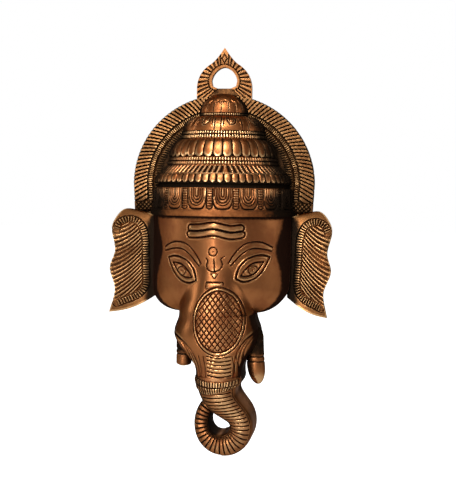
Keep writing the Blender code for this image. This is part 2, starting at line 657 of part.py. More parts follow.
def line_on_face(name, path, width, closed=False, rise=LINE_RISE, taper=0.0, surface=face_height):
    """A raised line along a path on the face: a ridge that stands proud of the relief and seats into it."""
    path = np.asarray(path, float)
    if closed:
        run = np.roll(path, -1, axis=0) - np.roll(path, 1, axis=0)
    else:
        run = np.gradient(path, axis=0)
    run = run / np.linalg.norm(run, axis=1)[:, None]
    aside = np.stack([-run[:, 1], run[:, 0]], axis=1)
    if closed:
        half = np.full(len(path), width / 2)
    else:
        t = np.linspace(0, math.pi, len(path))
        half = width / 2 * (1 - taper * (1 - np.sin(t)))
    columns = []
    for share, lift in ((-1, -LINE_SEAT), (-0.55, rise), (0.55, rise), (1, -LINE_SEAT)):
        place = path + aside * (share * half)[:, None]
        height = surface(path[:, 0], path[:, 1]) * 0.5 + surface(place[:, 0], place[:, 1]) * 0.5 + lift
        columns.append(np.stack([place[:, 0], -height, place[:, 1]], axis=1))
    return loft(name, np.stack(columns, axis=1), closed=closed)


def on_face(points, side=1):
    """Points given in hundredths of the face's half width and height, from the nose line and brow edge."""
    place = np.asarray(points, float) * [side * FACE_HALF_WIDTH, -FACE_HEIGHT] / 100
    return place - [0, FACE_TOP_DROP]


def round_mark(centre, across, high, count):
    """A ring of points round a mark on the face, in the same hundredths."""
    turn = 2 * math.pi * np.arange(count) / count
    return np.stack([centre[0] + across * np.cos(turn), centre[1] + high * np.sin(turn)], axis=1)


def face_lines():
    """The carving of the face: forehead bars, brows, eyes, the small mark and bar, and the oval's rim."""
    things = []
    for k, down in enumerate((17.7, 25.4)):
        x = np.linspace(-38, 38, 9)
        z = down - 2.1 * np.cos(x / 38 * math.pi * 0.9)
        things.append(line_on_face(f"tilak_{k}", on_face(np.stack([x, z], axis=1)), TILAK_LINE, taper=0.3))
    brow = [(75.1, 37.3), (59.5, 32.4), (42.8, 35.5), (30.2, 42.2), (20.7, 51.4)]
    lid = [(71.2, 46.8), (57.2, 45.6), (41.4, 50.2), (31.2, 59.0), (28.4, 66.4), (46.0, 67.6), (60.9, 60.9)]
    for side, label in ((-1, "left"), (1, "right")):
        arch = smooth_through(on_face(brow, side), 9)
        things.append(line_on_face(f"brow_{label}", arch, BROW_LINE, taper=0.5))
        things.append(line_on_face(f"eyelid_{label}", on_face(lid, side), EYE_LINE, closed=True))
        iris = round_mark((50.2, 57.8), 6.0, 4.0, 6)
        things.append(line_on_face(f"iris_{label}", on_face(iris, side), EYE_LINE, closed=True))
    mark = round_mark((-0.5, 40.4), 7.0, 5.5, 8)
    things.append(line_on_face("mark", on_face(mark), EYE_LINE, closed=True))
    prongs = [(-10.2, 48.0), (-7.9, 58.1), (2.3, 61.8), (11.6, 58.1), (14.4, 48.0)]
    things.append(line_on_face("prongs", smooth_through(on_face(prongs), 9), EYE_LINE))
    things.append(line_on_face("stem", on_face([(2.1, 48.3), (2.1, 55.0), (2.1, 64.2)]), EYE_LINE))
    bar = [(-9.8, 70.3), (2.3, 70.3), (14.4, 70.3)]
    things.append(line_on_face("bar", on_face(bar), 1.6 * TILAK_LINE))
    turn = 2 * math.pi * np.arange(20) / 20
    ring = np.stack([OVAL_HALF_WIDTH * np.cos(turn), OVAL_HALF_HEIGHT * np.sin(turn)], axis=1)
    things.append(line_on_face("oval_rim", ring + [OVAL_X, -OVAL_DROP], OVAL_LINE, closed=True))
    return things


def combine(base, other, operation):
    """Joins or cuts one body with another and keeps only the result."""
    modifier = base.modifiers.new(operation.title(), "BOOLEAN")
    modifier.operation = operation
    modifier.solver = "EXACT"
    modifier.object = other
    graph = bpy.context.evaluated_depsgraph_get()
    result = bpy.data.meshes.new_from_object(base.evaluated_get(graph))
    base.modifiers.clear()
    old = base.data
    base.data = result
    bpy.data.meshes.remove(old)
    spent = other.data
    bpy.data.objects.remove(other)
    bpy.data.meshes.remove(spent)


def back_block():
    """Everything behind the back plane, which the flat back is cut with."""
    far = 2 * (HALO_HALF_WIDTH + EYE_ARCH) + TUSK_TIP_DROP
    corners = [(-far, -far), (far, -far), (far, far), (-far, far)]
    rings = [[(x, y, z) for x, z in corners] for y in (0.0, 10 * BACK_STOCK)]
    return loft("back_block", rings)


def tidy(thing):
    """Drops the points and slivers that cutting leaves and turns every face into triangles."""
    shape = bmesh.new()
    shape.from_mesh(thing.data)
    bmesh.ops.remove_doubles(shape, verts=shape.verts, dist=0.01 * MM)
    bmesh.ops.dissolve_limit(
        shape, angle_limit=math.radians(1.0), use_dissolve_boundaries=False,
        verts=shape.verts, edges=shape.edges,
    )
    bmesh.ops.triangulate(shape, faces=shape.faces)
    bmesh.ops.dissolve_degenerate(shape, dist=0.01 * MM, edges=shape.edges)
    bmesh.ops.triangulate(shape, faces=shape.faces)
    bmesh.ops.recalc_face_normals(shape, faces=shape.faces)
    shape.to_mesh(thing.data)
    shape.free()


def copper():
    """Antique copper finish over the cast alloy."""
    finish = bpy.data.materials.new("antique_copper")
    finish.use_nodes = True
    shader = finish.node_tree.nodes["Principled BSDF"]
    shader.inputs["Base Color"].default_value = (0.42, 0.2, 0.09, 1)
    shader.inputs["Metallic"].default_value = 1.0
    shader.inputs["Roughness"].default_value = 0.38
    return finish


def main():
    for old in list(bpy.data.objects):
        bpy.data.objects.remove(old)
    mask = head()
    mask.name = "mask"
    mask.data.name = "mask"
    added = crown_bodies()
    added += [halo(), loop_sill(), loop(), ear("ear_left", -1), ear("ear_right", 1)]
    added.append(tusk("tusk_right", TUSK_X, TUSK_RELIEF, TUSK_TIP_DROP, TUSK_RADIUS, True))
    added.append(tusk("tusk_left", STUB_X, STUB_RELIEF, STUB_END_DROP, STUB_RADIUS, False))
    added.append(trunk_section("trunk", 0.0, 0.62, 10, 0.0))
    added.append(trunk_section("trunk_tip", 0.6, 1.0, 8, TIP_SHRINK))
    for thing in added + face_lines():
        combine(mask, thing, "UNION")
    hollows = [crown_hollow(), head_hollow()]
    hollows.append(trunk_section("trunk_hollow", 0.0, 0.56, 7, WALL, ringed=False))
    for thing in hollows + [back_block()]:
        combine(mask, thing, "DIFFERENCE")
    tidy(mask)
    mask.data.materials.clear()
    mask.data.materials.append(copper())
    for face in mask.data.polygons:
        face.use_smooth = False


main()
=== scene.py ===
"""Dressing of the elephant wall mask: fine relief on every form and an antique copper finish.

Metres, Z up, the front faces -Y, the flat back lies in y = 0, and the origin is the top of the hanging eye.
Every piece is a grid of points worked out from two parameters, closed by a plainer inside or back.
"""

import math

import bpy
import numpy as np
from mathutils import Matrix


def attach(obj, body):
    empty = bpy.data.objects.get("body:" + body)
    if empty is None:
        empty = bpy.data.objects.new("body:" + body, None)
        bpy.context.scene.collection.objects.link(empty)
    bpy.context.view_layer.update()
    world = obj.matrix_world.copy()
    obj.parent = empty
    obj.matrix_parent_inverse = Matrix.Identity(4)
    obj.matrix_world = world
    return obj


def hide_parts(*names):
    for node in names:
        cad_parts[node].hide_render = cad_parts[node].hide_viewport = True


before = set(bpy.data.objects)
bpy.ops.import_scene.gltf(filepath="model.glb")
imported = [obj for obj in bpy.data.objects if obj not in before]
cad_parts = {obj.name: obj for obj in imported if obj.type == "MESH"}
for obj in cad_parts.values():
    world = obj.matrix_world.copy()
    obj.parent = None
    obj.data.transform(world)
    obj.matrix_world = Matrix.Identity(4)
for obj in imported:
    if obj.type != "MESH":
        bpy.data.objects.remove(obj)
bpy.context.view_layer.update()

MM = 0.001

# Casting
WALL = 3.0 * MM
PLATE = 4.0 * MM

# Grids: rows and columns of points on a front, for the loop on one half; a plain back keeps every few
BACK_STEP = 4
HALO_BACK_STEP = 6
DOME_GRID = (213, 325)
BANDS_GRID = (213, 377)
FACE_ROWS, JAW_ROWS, ROOT_ROWS = 141, 61, 101
HEAD_COLUMNS = 449
BEND_GRID = (281, 121)
TIP_GRID = (161, 97)
SIDE_COLUMNS = 6
HALO_GRID = (865, 45)
LOOP_GRID = (181, 41)
SILL_GRID = (21, 41)
EAR_GRID = (265, 109)
TUSK_AROUND = 64
BAND_POINTS = 60
CURVE_POINTS = 2001
SHARP_ANGLE = math.radians(38)
THIN = 0.02 * MM

# Wear: height over which a hollow turns fully dark and a crest fully bright, and the dark of a plate's back
FINE_WEAR = 0.42 * MM
TRUNK_WEAR = 0.4 * MM
PLATE_WEAR = 0.62 * MM
HALO_WEAR = 0.85 * MM
PLATE_BACK_SHADE = 0.35

# Hanging loop
LOOP_RADIUS = 17.1 * MM
LOOP_POINT_RISE = 11.9 * MM
LOOP_SHOULDER = math.radians(60)
LOOP_PINCH = 4.6 * MM
LOOP_RIBS = 12
EYE_HALF_WIDTH = 8.0 * MM
EYE_ARCH = 8.5 * MM
EYE_SILL = 4.4 * MM
EYE_FLOOR = -EYE_ARCH - EYE_SILL
EYE_RIM = 2.0 * MM

# Halo plate
HALO_HALF_WIDTH = 56.8 * MM
HALO_RISE = 55.3 * MM
HALO_SPRING_DROP = 72.0 * MM
HALO_FOOT_RUN = 18.0 * MM
HALO_FOOT_DROP = HALO_SPRING_DROP + HALO_FOOT_RUN
HALO_FOOT_INSET = 1.2 * MM
HALO_TUCK = 3.5 * MM
RIB_BAND = 9.1 * MM
BEAD_STRIP = 2.9 * MM
GAP_STRIP = 1.2 * MM
INNER_TICKS = 3.6 * MM
HALO_WIDTH = 24.0 * MM
RIBS_PER_SIDE = 30
RIB_RISE = 0.9 * MM
RIB_LEAN = 4.6 * MM

# Crown: height and foot radius of each band from the top
CROWN_TOP_DROP = 16.2 * MM
CROWN_DEPTH_SHARE = 0.8
CAP_HEIGHT = 12.4 * MM
CAP_RADIUS = 15.4 * MM
CAP_BEADS_HEIGHT = 2.0 * MM
DOME_HEIGHT = 9.2 * MM
DOME_RADIUS = 26.0 * MM
UPPER_BEADS_HEIGHT = 5.0 * MM
GADROON_HEIGHT = 11.4 * MM
GADROON_RADIUS = 34.2 * MM
LOWER_BEADS_HEIGHT = 4.6 * MM
FLUTE_HEIGHT = 5.0 * MM
FLUTE_RADIUS = 40.2 * MM
KNOP_HEIGHT = 6.0 * MM
KNOP_RADIUS = 43.0 * MM
NECK_HEIGHT = 2.8 * MM
NECK_CUT = 2.4 * MM
PETAL_HEIGHT = 13.6 * MM
BRIM_RADIUS = 44.2 * MM
BRIM_HEIGHT = 3.3 * MM
BRIM_PROUD = 0.9 * MM
BEAD_RISE = 0.7 * MM

# Carving of the crown: degrees from one motif to the next, and where one groove or motif stands
CAP_PETAL_STEP, CAP_PETAL_AT = 18.3, 90.4
CAP_BEAD_STEP = 5.0
SCROLL_STEP, SCROLL_AT = 39.5, 72.0
UPPER_BEAD_STEP = 3.75
GADROON_STEP, GADROON_AT = 10.0, 94.3
LOWER_BEAD_STEP = 3.0
FLUTE_STEP, FLUTE_PARTING = 4.75, 81.5
KNOP_STEP, KNOP_AT = 6.0, 88.8
PETAL_STEP, LADDER_AT = 20.9, 93.9

# Head
FACE_HALF_WIDTH = 43.0 * MM
FACE_TOP_DROP = 86.0 * MM
FACE_HEIGHT = 65.4 * MM
JAW_DROP = FACE_TOP_DROP + FACE_HEIGHT
JAW_ROUND = 18.0 * MM
JAW_BEND = JAW_DROP - JAW_ROUND
FACE_SKIRT = 6.0 * MM
BROW_DEPTH = 36.5 * MM
CHEEK_DEPTH = 35.0 * MM
EYE_LIFT = 0.7 * MM
EYE_ASIDE = 0.6 * MM

# Middle lines of the two waved bars of the forehead, in millimetres
TILAK_BARS = (
    ((-14.7, -98.5), (-10.7, -98.4), (-7.0, -98.0), (-4.0, -97.4), (-0.8, -97.2), (2.4, -97.6), (5.5, -98.4),
     (8.8, -99.0), (12.0, -98.9), (15.0, -98.4)),
    ((-15.4, -102.4), (-11.2, -102.3), (-7.4, -101.9), (-4.3, -101.3), (-0.8, -101.1), (2.6, -101.5),
     (5.8, -102.3), (9.2, -102.9), (12.4, -102.8), (15.5, -102.2)),
)

# Trunk
ROOT_HALF_WIDTH = 26.4 * MM
ROOT_DROP = 163.0 * MM
ROOT_START_DROP = 116.0 * MM
ROOT_RUN_OUT = 12.0 * MM
ROOT_NARROWING = 3.0 * MM
ROOT_OFFSET = -1.0 * MM
ROOT_DEPTH = 41.5 * MM
ROOT_SKIRT = 13.0 * MM
ROOT_SKIRT_GAIN = 10.0 * MM
SEAT_OVERLAP = 4.0 * MM
BLEND = 6.0 * MM
WRIST_DROP = 188.0 * MM
WRIST_EASE = 2.0 * MM
WRIST_HALF_WIDTH = 13.9 * MM
WRIST_DEPTH = 36.5 * MM
WRIST_CENTRE_X = 1.7 * MM
BRACELET_RISE = 0.9 * MM
BRACELET_HEIGHT = 7.4 * MM
CURL_HALF_WIDTH = 7.2 * MM
TIP_HALF_WIDTH = 5.1 * MM
CURL_DEPTH = 26.0 * MM
TIP_DEPTH = 18.0 * MM
CURL_RADIUS = 12.3 * MM
CURL_DOWN_TURN = math.radians(-128)
CURL_UP_TURN = math.radians(-70)
TRUNK_TURNS = (
    (5.4 * MM, 0.0),
    (14.0 * MM, math.radians(46)),
    (7.1 * MM, 0.0),
    (-CURL_RADIUS * CURL_DOWN_TURN, CURL_DOWN_TURN),
    (3.5 * MM, math.radians(-13)),
    (-CURL_RADIUS * CURL_UP_TURN, CURL_UP_TURN),
    (17.0 * MM, math.radians(-62)),
)
TRUNK_EASE = 4.0 * MM
TRUNK_STEP = 0.1 * MM
TRUNK_SKIRT_SHARE = 0.66
FOLD_PITCH = 2.5 * MM
FOLD_RISE = 0.7 * MM
FOLD_DROOP = 1.3 * MM
FOLD_LEVELLING = 0.75
BRACELET_BOW = 2.2 * MM

# Tusks
TUSK_RADIUS = 5.6 * MM
TUSK_X = 22.2 * MM
TUSK_RELIEF = 13.0 * MM
TUSK_TIP_DROP = 194.6 * MM
TUSK_LEAN = 2.6 * MM
TUSK_NOSE = 11.7 * MM
STUB_RADIUS = 4.7 * MM
STUB_X = -20.8 * MM
STUB_RELIEF = 18.0 * MM
STUB_END_DROP = 184.0 * MM
STUB_NOSE = 2.1 * MM

# Ears
EAR_ROOT_INSET = 2.0 * MM
EAR_REACH = 28.28 * MM
EAR_TOP_RISE = 3.4 * MM
EAR_HEIGHT = 67.0 * MM
EAR_BOW = 4.5 * MM
EAR_FOLD_ARCH = 2.0 * MM
EAR_HEM_DROP = 2.8 * MM
EAR_SWING = 2.4 * MM
EAR_RIM_RISE = 0.7 * MM
EAR_FOLD_PITCH = 2.5 * MM
EAR_TICK_PITCH = 1.6 * MM

# Oval panel of the trunk
OVAL_X = 3.4 * MM
OVAL_DROP = 153.9 * MM
OVAL_HALF_WIDTH = 15.2 * MM
OVAL_HALF_HEIGHT = 20.4 * MM
HATCH_ACROSS = 3.3 * MM
HATCH_DOWN = 4.4 * MM

# Coppers: main tone, second tone and rubbed metal (also painted highlight), with the wax (also painted shade)
# and the size of the clouds where they differ
WHITE = (1.0, 1.0, 1.0, 1)
WAX_AND_SHADE = (0.012, 0.007, 0.004, 1)
COPPERS = {
    "crown_copper": ((0.35, 0.122, 0.038, 1), (0.24, 0.077, 0.024, 1), (0.78, 0.46, 0.21, 1)),
    "face_copper": (
        (0.33, 0.125, 0.043, 1), (0.24, 0.082, 0.029, 1), (0.58, 0.31, 0.13, 1),
        (0.018, 0.007, 0.004, 1), 45.0),
    "trunk_copper": ((0.3, 0.115, 0.04, 1), (0.2, 0.072, 0.026, 1), (0.64, 0.37, 0.17, 1)),
    "plate_copper": ((0.22, 0.09, 0.029, 1), (0.15, 0.058, 0.019, 1), (0.46, 0.26, 0.11, 1)),
    # halo_copper is a darker copy of the plate copper: painted shade that offsets the light falling full on
    # the flat halo
    "halo_copper": ((0.15, 0.066, 0.023, 1), (0.1, 0.041, 0.014, 1), (0.25, 0.135, 0.054, 1)),
}
BASE_ROUGHNESS = 0.34
GRAZING_TINT = (0.52, 0.47, 0.43, 1)

# Camera: distance, turn to the object's right, height above the level, lean of the frame
CAMERA_DISTANCE = 650 * MM
CAMERA_TURN = math.radians(8)
CAMERA_LIFT = math.radians(3)
CAMERA_LEAN = math.radians(-0.8)
CAMERA_TARGET = (3.135 * MM, 0.0, -113.17 * MM)
PIXEL = 0.627 * MM
PHOTO_HEIGHT = 500

# Studio: floor, room, and soft boxes as name, place, width, height and brightness
FLOOR_DROP = 300 * MM
FLOOR_REACH = 6.0
FLOOR_GLOW = 1.1
LIGHT_TARGET = (0.0, 0.0, -110 * MM)
ROOM_TONE = (0.06, 0.056, 0.052, 1)
SOFT_BOXES = (
    ("front_fill", (0.0, -1.7, 0.1), 2.6, 1.8, 0.55),
    ("high_key", (-0.10, -0.85, 0.62), 0.3, 0.3, 34.0),
    ("top_key", (-0.04, -0.5, 0.9), 0.3, 0.2, 14.0),
    ("front_key", (-0.30, -1.2, 0.0), 0.2, 0.5, 19.0),
    ("low_key", (-0.08, -1.1, -0.6), 0.3, 0.24, 20.0),
    ("left_strip", (-1.0, -0.16, 0.12), 0.2, 0.5, 5.0),
    ("right_strip", (1.0, -0.2, 0.12), 0.2, 0.5, 4.0),
    ("back", (0.15, 1.2, 0.3), 0.9, 0.9, 1.2),
)


# Shapes shared by the pieces
def ease(low, high, x):
    """Runs smoothly from 0 at low to 1 at high: 3t^2 - 2t^3."""
    t = np.clip((x - low) / (high - low), 0, 1)
    return t * t * (3 - 2 * t)


def fade(low, high, x):
    """Runs smoothly from 1 at low to 0 at high."""
    return 1 - ease(low, high, x)


def rounded(t):
    """A quarter circle: 1 at 0, falling to 0 at 1, and 0 beyond it."""
    return np.sqrt(np.clip(1 - t**2, 0, 1))


def points_at(at, knots, curve):
    """Places on a plane curve whose own points stand at the knots."""
    return np.stack([np.interp(at, knots, curve[:, k]) for k in range(2)], axis=1)


def unit_and_left(run):
    """Directions of unit length, and each turned a quarter to the left."""
    run = run / np.linalg.norm(run, axis=1)[:, None]
    return run, np.stack([-run[:, 1], run[:, 0]], axis=1)


def lengths_along(points):
    """Length from the first point of a chain to each of its points."""
    return np.concatenate([[0], np.cumsum(np.linalg.norm(np.diff(points, axis=0), axis=1))])


def even(curve, count):
    """The same curve at count points an equal length apart, and that length in all."""
    length = lengths_along(curve)
    return points_at(np.linspace(0, length[-1], count), length, curve), length[-1]


def even_turns(turn, points, count):
    """Values of a parameter at count places an equal length apart on the curve of its points."""
    length = lengths_along(points)
    return np.interp(np.linspace(0, length[-1], count), length, turn)


def both_sides(half):
    """A half outline and its mirror image in x, joined at the last point of the half."""
    return np.vstack([half, (half * [-1, 1])[-2::-1]])


def smooth_through(knots, count):
    """Catmull-Rom curve through the knots, at count points spread evenly over the knots' index."""
    knots = np.asarray(knots, float)
    padded = np.vstack([2 * knots[0] - knots[1], knots, 2 * knots[-1] - knots[-2]])
    at = np.linspace(0, len(knots) - 1, count)
    i = np.minimum(at.astype(int), len(knots) - 2)
    t = (at - i)[:, None]
    a, b, c, d = padded[i], padded[i + 1], padded[i + 2], padded[i + 3]
    return 0.5 * (2 * b + (c - a) * t + (2 * a - 5 * b + 4 * c - d) * t**2 + (3 * b - a - 3 * c + d) * t**3)


def off_beat(x, step, at=0.0):
    """Distance from the nearest beat of a row of beats, as a share of half the step: 0 on it, 1 midway."""
    return np.abs((x - at) / step - np.round((x - at) / step)) * 2


def from_beat(x, step, at):
    """Distance from the nearest beat of a row of beats, less than 0 on the one side of it."""
    share = (x - at) / step
    return (share - np.round(share)) * step


def groove(near, half):
    """A rounded cut: 1 on the line and 0 from half of it on."""
    return fade(0, 1, near / half)


def crossed(first, second, step, half):
    """Two families of cuts that cross, each on every whole step of its own measure."""
    return np.maximum(groove(off_beat(first, step), half), groove(off_beat(second, step), half))


def strip(deep, start, end, rise, fall):
    """1 from start to end, reached over rise and left over fall, and 0 elsewhere."""
    return ease(start, start + rise, deep) * fade(end, end + fall, deep)


def blurred(field, cells):
    """The field averaged twice over a square of 2 * cells + 1 cells, its edges held."""
    for _ in range(2):
        for axis in (0, 1):
            span = 2 * cells + 1
            wide = [(0, 0), (0, 0)]
            wide[axis] = (cells + 1, cells)
            total = np.cumsum(np.pad(field, wide, mode="edge"), axis=axis)
            high = np.take(total, np.arange(span, total.shape[axis]), axis=axis)
            low = np.take(total, np.arange(0, total.shape[axis] - span), axis=axis)
            field = (high - low) / span
    return field


def wear_of(relief, cells, deep, shade=0.0):
    """Patina and rub from a relief: how far a point lies below or above the average round it, over deep; the
    patina is joined with the painted shade given as shade.
    """
    around = blurred(relief, cells)
    patina_and_shade = np.clip((around - relief) / deep, 0, 1)
    rub_and_highlight = np.clip((relief - around) / deep, 0, 1)
    return 1 - (1 - patina_and_shade) * (1 - shade), rub_and_highlight


def put(name, data):
    """An object made of its data and linked into the scene."""
    thing = bpy.data.objects.new(name, data)
    bpy.context.scene.collection.objects.link(thing)
    return thing


# Meshes from grids
def grid_faces(rows, columns, start):
    """Two triangles in each cell of a grid of points numbered row by row from start."""
    corner = (np.arange(rows - 1)[:, None] * columns + np.arange(columns - 1)).ravel() + start
    a, b, c, d = corner, corner + 1, corner + columns + 1, corner + columns
    return np.concatenate([np.stack([a, b, c], axis=1), np.stack([a, c, d], axis=1)])


def rim_of(rows, columns, start):
    """Numbers of the points round a grid's edge, in order, the first not repeated."""
    grid = np.arange(rows * columns).reshape(rows, columns) + start
    return np.concatenate([grid[0, :-1], grid[:-1, -1], grid[-1, :0:-1], grid[:0:-1, 0]])


def stitch(fine, coarse):
    """Triangles between two closed rims, the fine one with a whole number of points to each coarse one."""
    ratio = len(fine) // len(coarse)
    owner = np.repeat(np.arange(len(coarse)), ratio)
    step = np.arange(len(fine))
    fans = np.stack([coarse[owner], fine[(step + 1) % len(fine)], fine[step]], axis=1)
    ends = fine[(np.arange(len(coarse)) + 1) * ratio % len(fine)]
    return np.concatenate([fans, np.stack([coarse, np.roll(coarse, -1), ends], axis=1)])


def solid_of(name, points, faces, patina_and_shade, rub_and_highlight, material):
    """One closed mesh turned outwards, with its patina and painted shade, and its rub and painted highlights,
    kept as attributes for the finish.
    """
    a, b, c = (points[faces[:, k]] for k in range(3))
    if np.einsum("ij,ij->i", a, np.cross(b, c)).sum() < 0:
        faces = faces[:, ::-1]
    mesh = bpy.data.meshes.new(name)
    mesh.vertices.add(len(points))
    mesh.vertices.foreach_set("co", points.astype(np.float32).ravel())
    mesh.loops.add(faces.size)
    mesh.loops.foreach_set("vertex_index", faces.astype(np.int32).ravel())
    mesh.polygons.add(len(faces))
    mesh.polygons.foreach_set("loop_start", np.arange(0, faces.size, 3, dtype=np.int32))
    mesh.update(calc_edges=True)
    mesh.validate()
    mesh.polygons.foreach_set("use_smooth", np.ones(len(mesh.polygons), dtype=bool))
    mesh.set_sharp_from_angle(angle=SHARP_ANGLE)
    for label, values in (("patina_and_shade", patina_and_shade), ("rub_and_highlight", rub_and_highlight)):
        kept = mesh.attributes.new(label, "FLOAT", "POINT")
        kept.data.foreach_set("value", values.astype(np.float32).ravel())
    mesh.materials.append(material)
    thing = put(name, mesh)
    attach(thing, "root")
    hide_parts("mask")


def flat_back(front, step, depth):
    """The plain back of a wall: every few points of its front, laid at a depth in front of the back plane."""
    back = front[::step, ::step].copy()
    back[:, :, 1] = -depth
    return back


def shell(name, front, back, patina_and_shade, rub_and_highlight, material, back_shade=0.55):
    """A closed wall: the fine front grid, the coarser back grid and a strip that joins their rims."""
    rows, columns = front.shape[:2]
    low_rows, low_columns = back.shape[:2]
    points = np.vstack([front.reshape(-1, 3), back.reshape(-1, 3)])
    start = rows * columns
    faces = [grid_faces(rows, columns, 0), grid_faces(low_rows, low_columns, start)[:, ::-1]]
    faces.append(stitch(rim_of(rows, columns, 0), rim_of(low_rows, low_columns, start)))
    patina_and_shade = np.concatenate([patina_and_shade.ravel(), np.full(low_rows * low_columns, back_shade)])
    rub_and_highlight = np.concatenate([rub_and_highlight.ravel(), np.zeros(low_rows * low_columns)])
    solid_of(name, points, np.concatenate(faces), patina_and_shade, rub_and_highlight, material)


def rod(name, rings, patina_and_shade, rub_and_highlight, material):
    """A closed body through rings of points, each end closed with a fan about its middle."""
    count, around = rings.shape[:2]
    first = np.arange(count - 1)[:, None] * around + np.arange(around)
    after = np.arange(count - 1)[:, None] * around + (np.arange(around) + 1) % around
    a, b, c, d = first.ravel(), after.ravel(), after.ravel() + around, first.ravel() + around
    faces = [np.stack([a, b, c], axis=1), np.stack([a, c, d], axis=1)]
    top, foot = count * around, count * around + 1
    here = np.arange(around)
    ahead = (here + 1) % around
    faces.append(np.stack([np.full(around, top), ahead, here], axis=1))
    last = (count - 1) * around
    faces.append(np.stack([np.full(around, foot), last + here, last + ahead], axis=1))
    points = np.vstack([rings.reshape(-1, 3), rings[0].mean(axis=0), rings[-1].mean(axis=0)])
    patina_and_shade = np.concatenate([patina_and_shade.ravel(), [patina_and_shade[0].mean(), patina_and_shade[-1].mean()]])
    rub_and_highlight = np.concatenate([rub_and_highlight.ravel(), [0, 0]])
    solid_of(name, points, np.concatenate(faces), patina_and_shade, rub_and_highlight, material)


# Finish: effects shared by the coppers
def fill(tree, sockets, values):
    """Sockets filled by name or number, each with a value or with a link from another socket."""
    for label, value in values.items():
        if isinstance(value, bpy.types.NodeSocket):
            tree.links.new(value, sockets[label])
        else:
            sockets[label].default_value = value


def node(tree, kind, values=None, **settings):
    """A node with its settings made and its sockets filled."""
    made = tree.nodes.new(kind)
    for label, value in settings.items():
        setattr(made, label, value)
    fill(tree, made.inputs, values or {})
    return made


def effect(name, inputs, outputs):
    """A node group with named inputs and outputs, its sockets inside, and the object's own coordinates.

    An input whose value is four numbers is a colour, and so is an output called Colour.
    """
    group = bpy.data.node_groups.new(name, "ShaderNodeTree")
    for label, value in inputs.items():
        kind = "NodeSocketColor" if isinstance(value, tuple) else "NodeSocketFloat"
        group.interface.new_socket(label, in_out="INPUT", socket_type=kind).default_value = value
    for label in outputs:
        kind = "NodeSocketColor" if label == "Colour" else "NodeSocketFloat"
        group.interface.new_socket(label, in_out="OUTPUT", socket_type=kind)
    place = node(group, "ShaderNodeTexCoord").outputs["Object"]
    return group, group.nodes.new("NodeGroupInput").outputs, group.nodes.new("NodeGroupOutput").inputs, place


def blend_colours(tree, amount, first, second):
    """A colour mix by amount."""
    return node(tree, "ShaderNodeMix", {0: amount, 6: first, 7: second}, data_type="RGBA").outputs[2]


def mask(tree, value, low, high):
    """A value stretched smoothly from 0 at low to 1 at high."""
    values = {"Value": value, "From Min": low, "From Max": high}
    made = node(tree, "ShaderNodeMapRange", values, interpolation_type="SMOOTHSTEP", clamp=True)
    return made.outputs["Result"]


def plus(tree, first, second):
    """Sum of two values."""
    return node(tree, "ShaderNodeMath", {0: first, 1: second}, operation="ADD").outputs[0]


def less(tree, first, second):
    """First value less the second."""
    return node(tree, "ShaderNodeMath", {0: first, 1: second}, operation="SUBTRACT").outputs[0]


def times(tree, first, second):
    """Product of two values."""
    return node(tree, "ShaderNodeMath", {0: first, 1: second}, operation="MULTIPLY").outputs[0]


def noise(tree, place, scale, detail=2.0):
    """Even noise between 0 and 1."""
    values = {"Vector": place, "Scale": scale, "Detail": detail}
    return node(tree, "ShaderNodeTexNoise", values).outputs["Fac"]


def uneven(tree, place, scale, detail):
    """Noise about 0, a quarter each way, that breaks a clean edge when it is added."""
    return times(tree, less(tree, noise(tree, place, scale, detail), 0.5), 0.5)


def wax_and_painted_shade():
    """Dark wax left in hollows, and painted shade in the same dark, broken by fine noise, so that its edge
    isn't a clean line.
    """
    inputs = {"Metal": WHITE, "Wax and shade": WAX_AND_SHADE, "Patina and shade": 0.0, "Reach": 1.0}
    group, given, made, place = effect("wax_and_painted_shade", inputs, ("Colour", "Amount"))
    reached = times(group, given["Patina and shade"], given["Reach"])
    amount = mask(group, plus(group, reached, uneven(group, place, 420.0, 3.0)), 0.12, 0.75)
    colour = blend_colours(group, amount, given["Metal"], given["Wax and shade"])
    fill(group, made, {"Colour": colour, "Amount": amount})
    return group


def rub_and_painted_highlight():
    """Bright metal where hands and cloth have rubbed the crests, and painted highlights in the same bright
    metal.
    """
    inputs = {"Metal": WHITE, "Bright": WHITE, "Rub and highlight": 0.0}
    group, given, made, place = effect("rub_and_painted_highlight", inputs, ("Colour", "Amount"))
    amount = mask(group, plus(group, given["Rub and highlight"], uneven(group, place, 260.0, 2.0)), 0.12, 0.85)
    colour = blend_colours(group, amount, given["Metal"], given["Bright"])
    fill(group, made, {"Colour": colour, "Amount": amount})
    return group


def cloudy_tone():
    """Slow change of the wash from one tone to another, with finer mottling over it."""
    inputs = {"First": WHITE, "Second": WHITE, "Size": 60.0}
    group, given, made, place = effect("cloudy_tone", inputs, ("Colour", "Cloud"))
    slow = noise(group, place, given["Size"], 4.0)
    fine = noise(group, place, times(group, given["Size"], 6.0), 3.0)
    cloud = mask(group, plus(group, times(group, slow, 0.75), times(group, fine, 0.25)), 0.38, 0.62)
    colour = blend_colours(group, cloud, given["First"], given["Second"])
    fill(group, made, {"Colour": colour, "Cloud": cloud})
    return group


def cast_skin():
    """Height of the cast skin: sand grain, shallow waves left by filing, and scattered pin holes."""
    inputs = {"Grain": 1.0, "Pits": 1.0}
    group, given, made, place = effect("cast_skin", inputs, ("Height", "Pit"))
    grain = times(group, noise(group, place, 1500.0), given["Grain"])
    waves = times(group, noise(group, place, 160.0), 2.0)
    cells = node(group, "ShaderNodeTexVoronoi", {"Vector": place, "Scale": 230.0}, feature="F1")
    pit = less(group, 1.0, mask(group, cells.outputs["Distance"], 0.05, 0.13))
    pit = times(group, pit, mask(group, noise(group, place, 90.0), 0.6, 0.68))
    dip = times(group, times(group, pit, given["Pits"]), 4.0)
    fill(group, made, {"Height": less(group, plus(group, grain, waves), dip), "Pit": pit})
    return group


EFFECTS = {}


def placed(tree, build, values):
    """One shared effect placed in a material with its own values."""
    if build.__name__ not in EFFECTS:
        EFFECTS[build.__name__] = build()
    return node(tree, "ShaderNodeGroup", values, node_tree=EFFECTS[build.__name__]).outputs


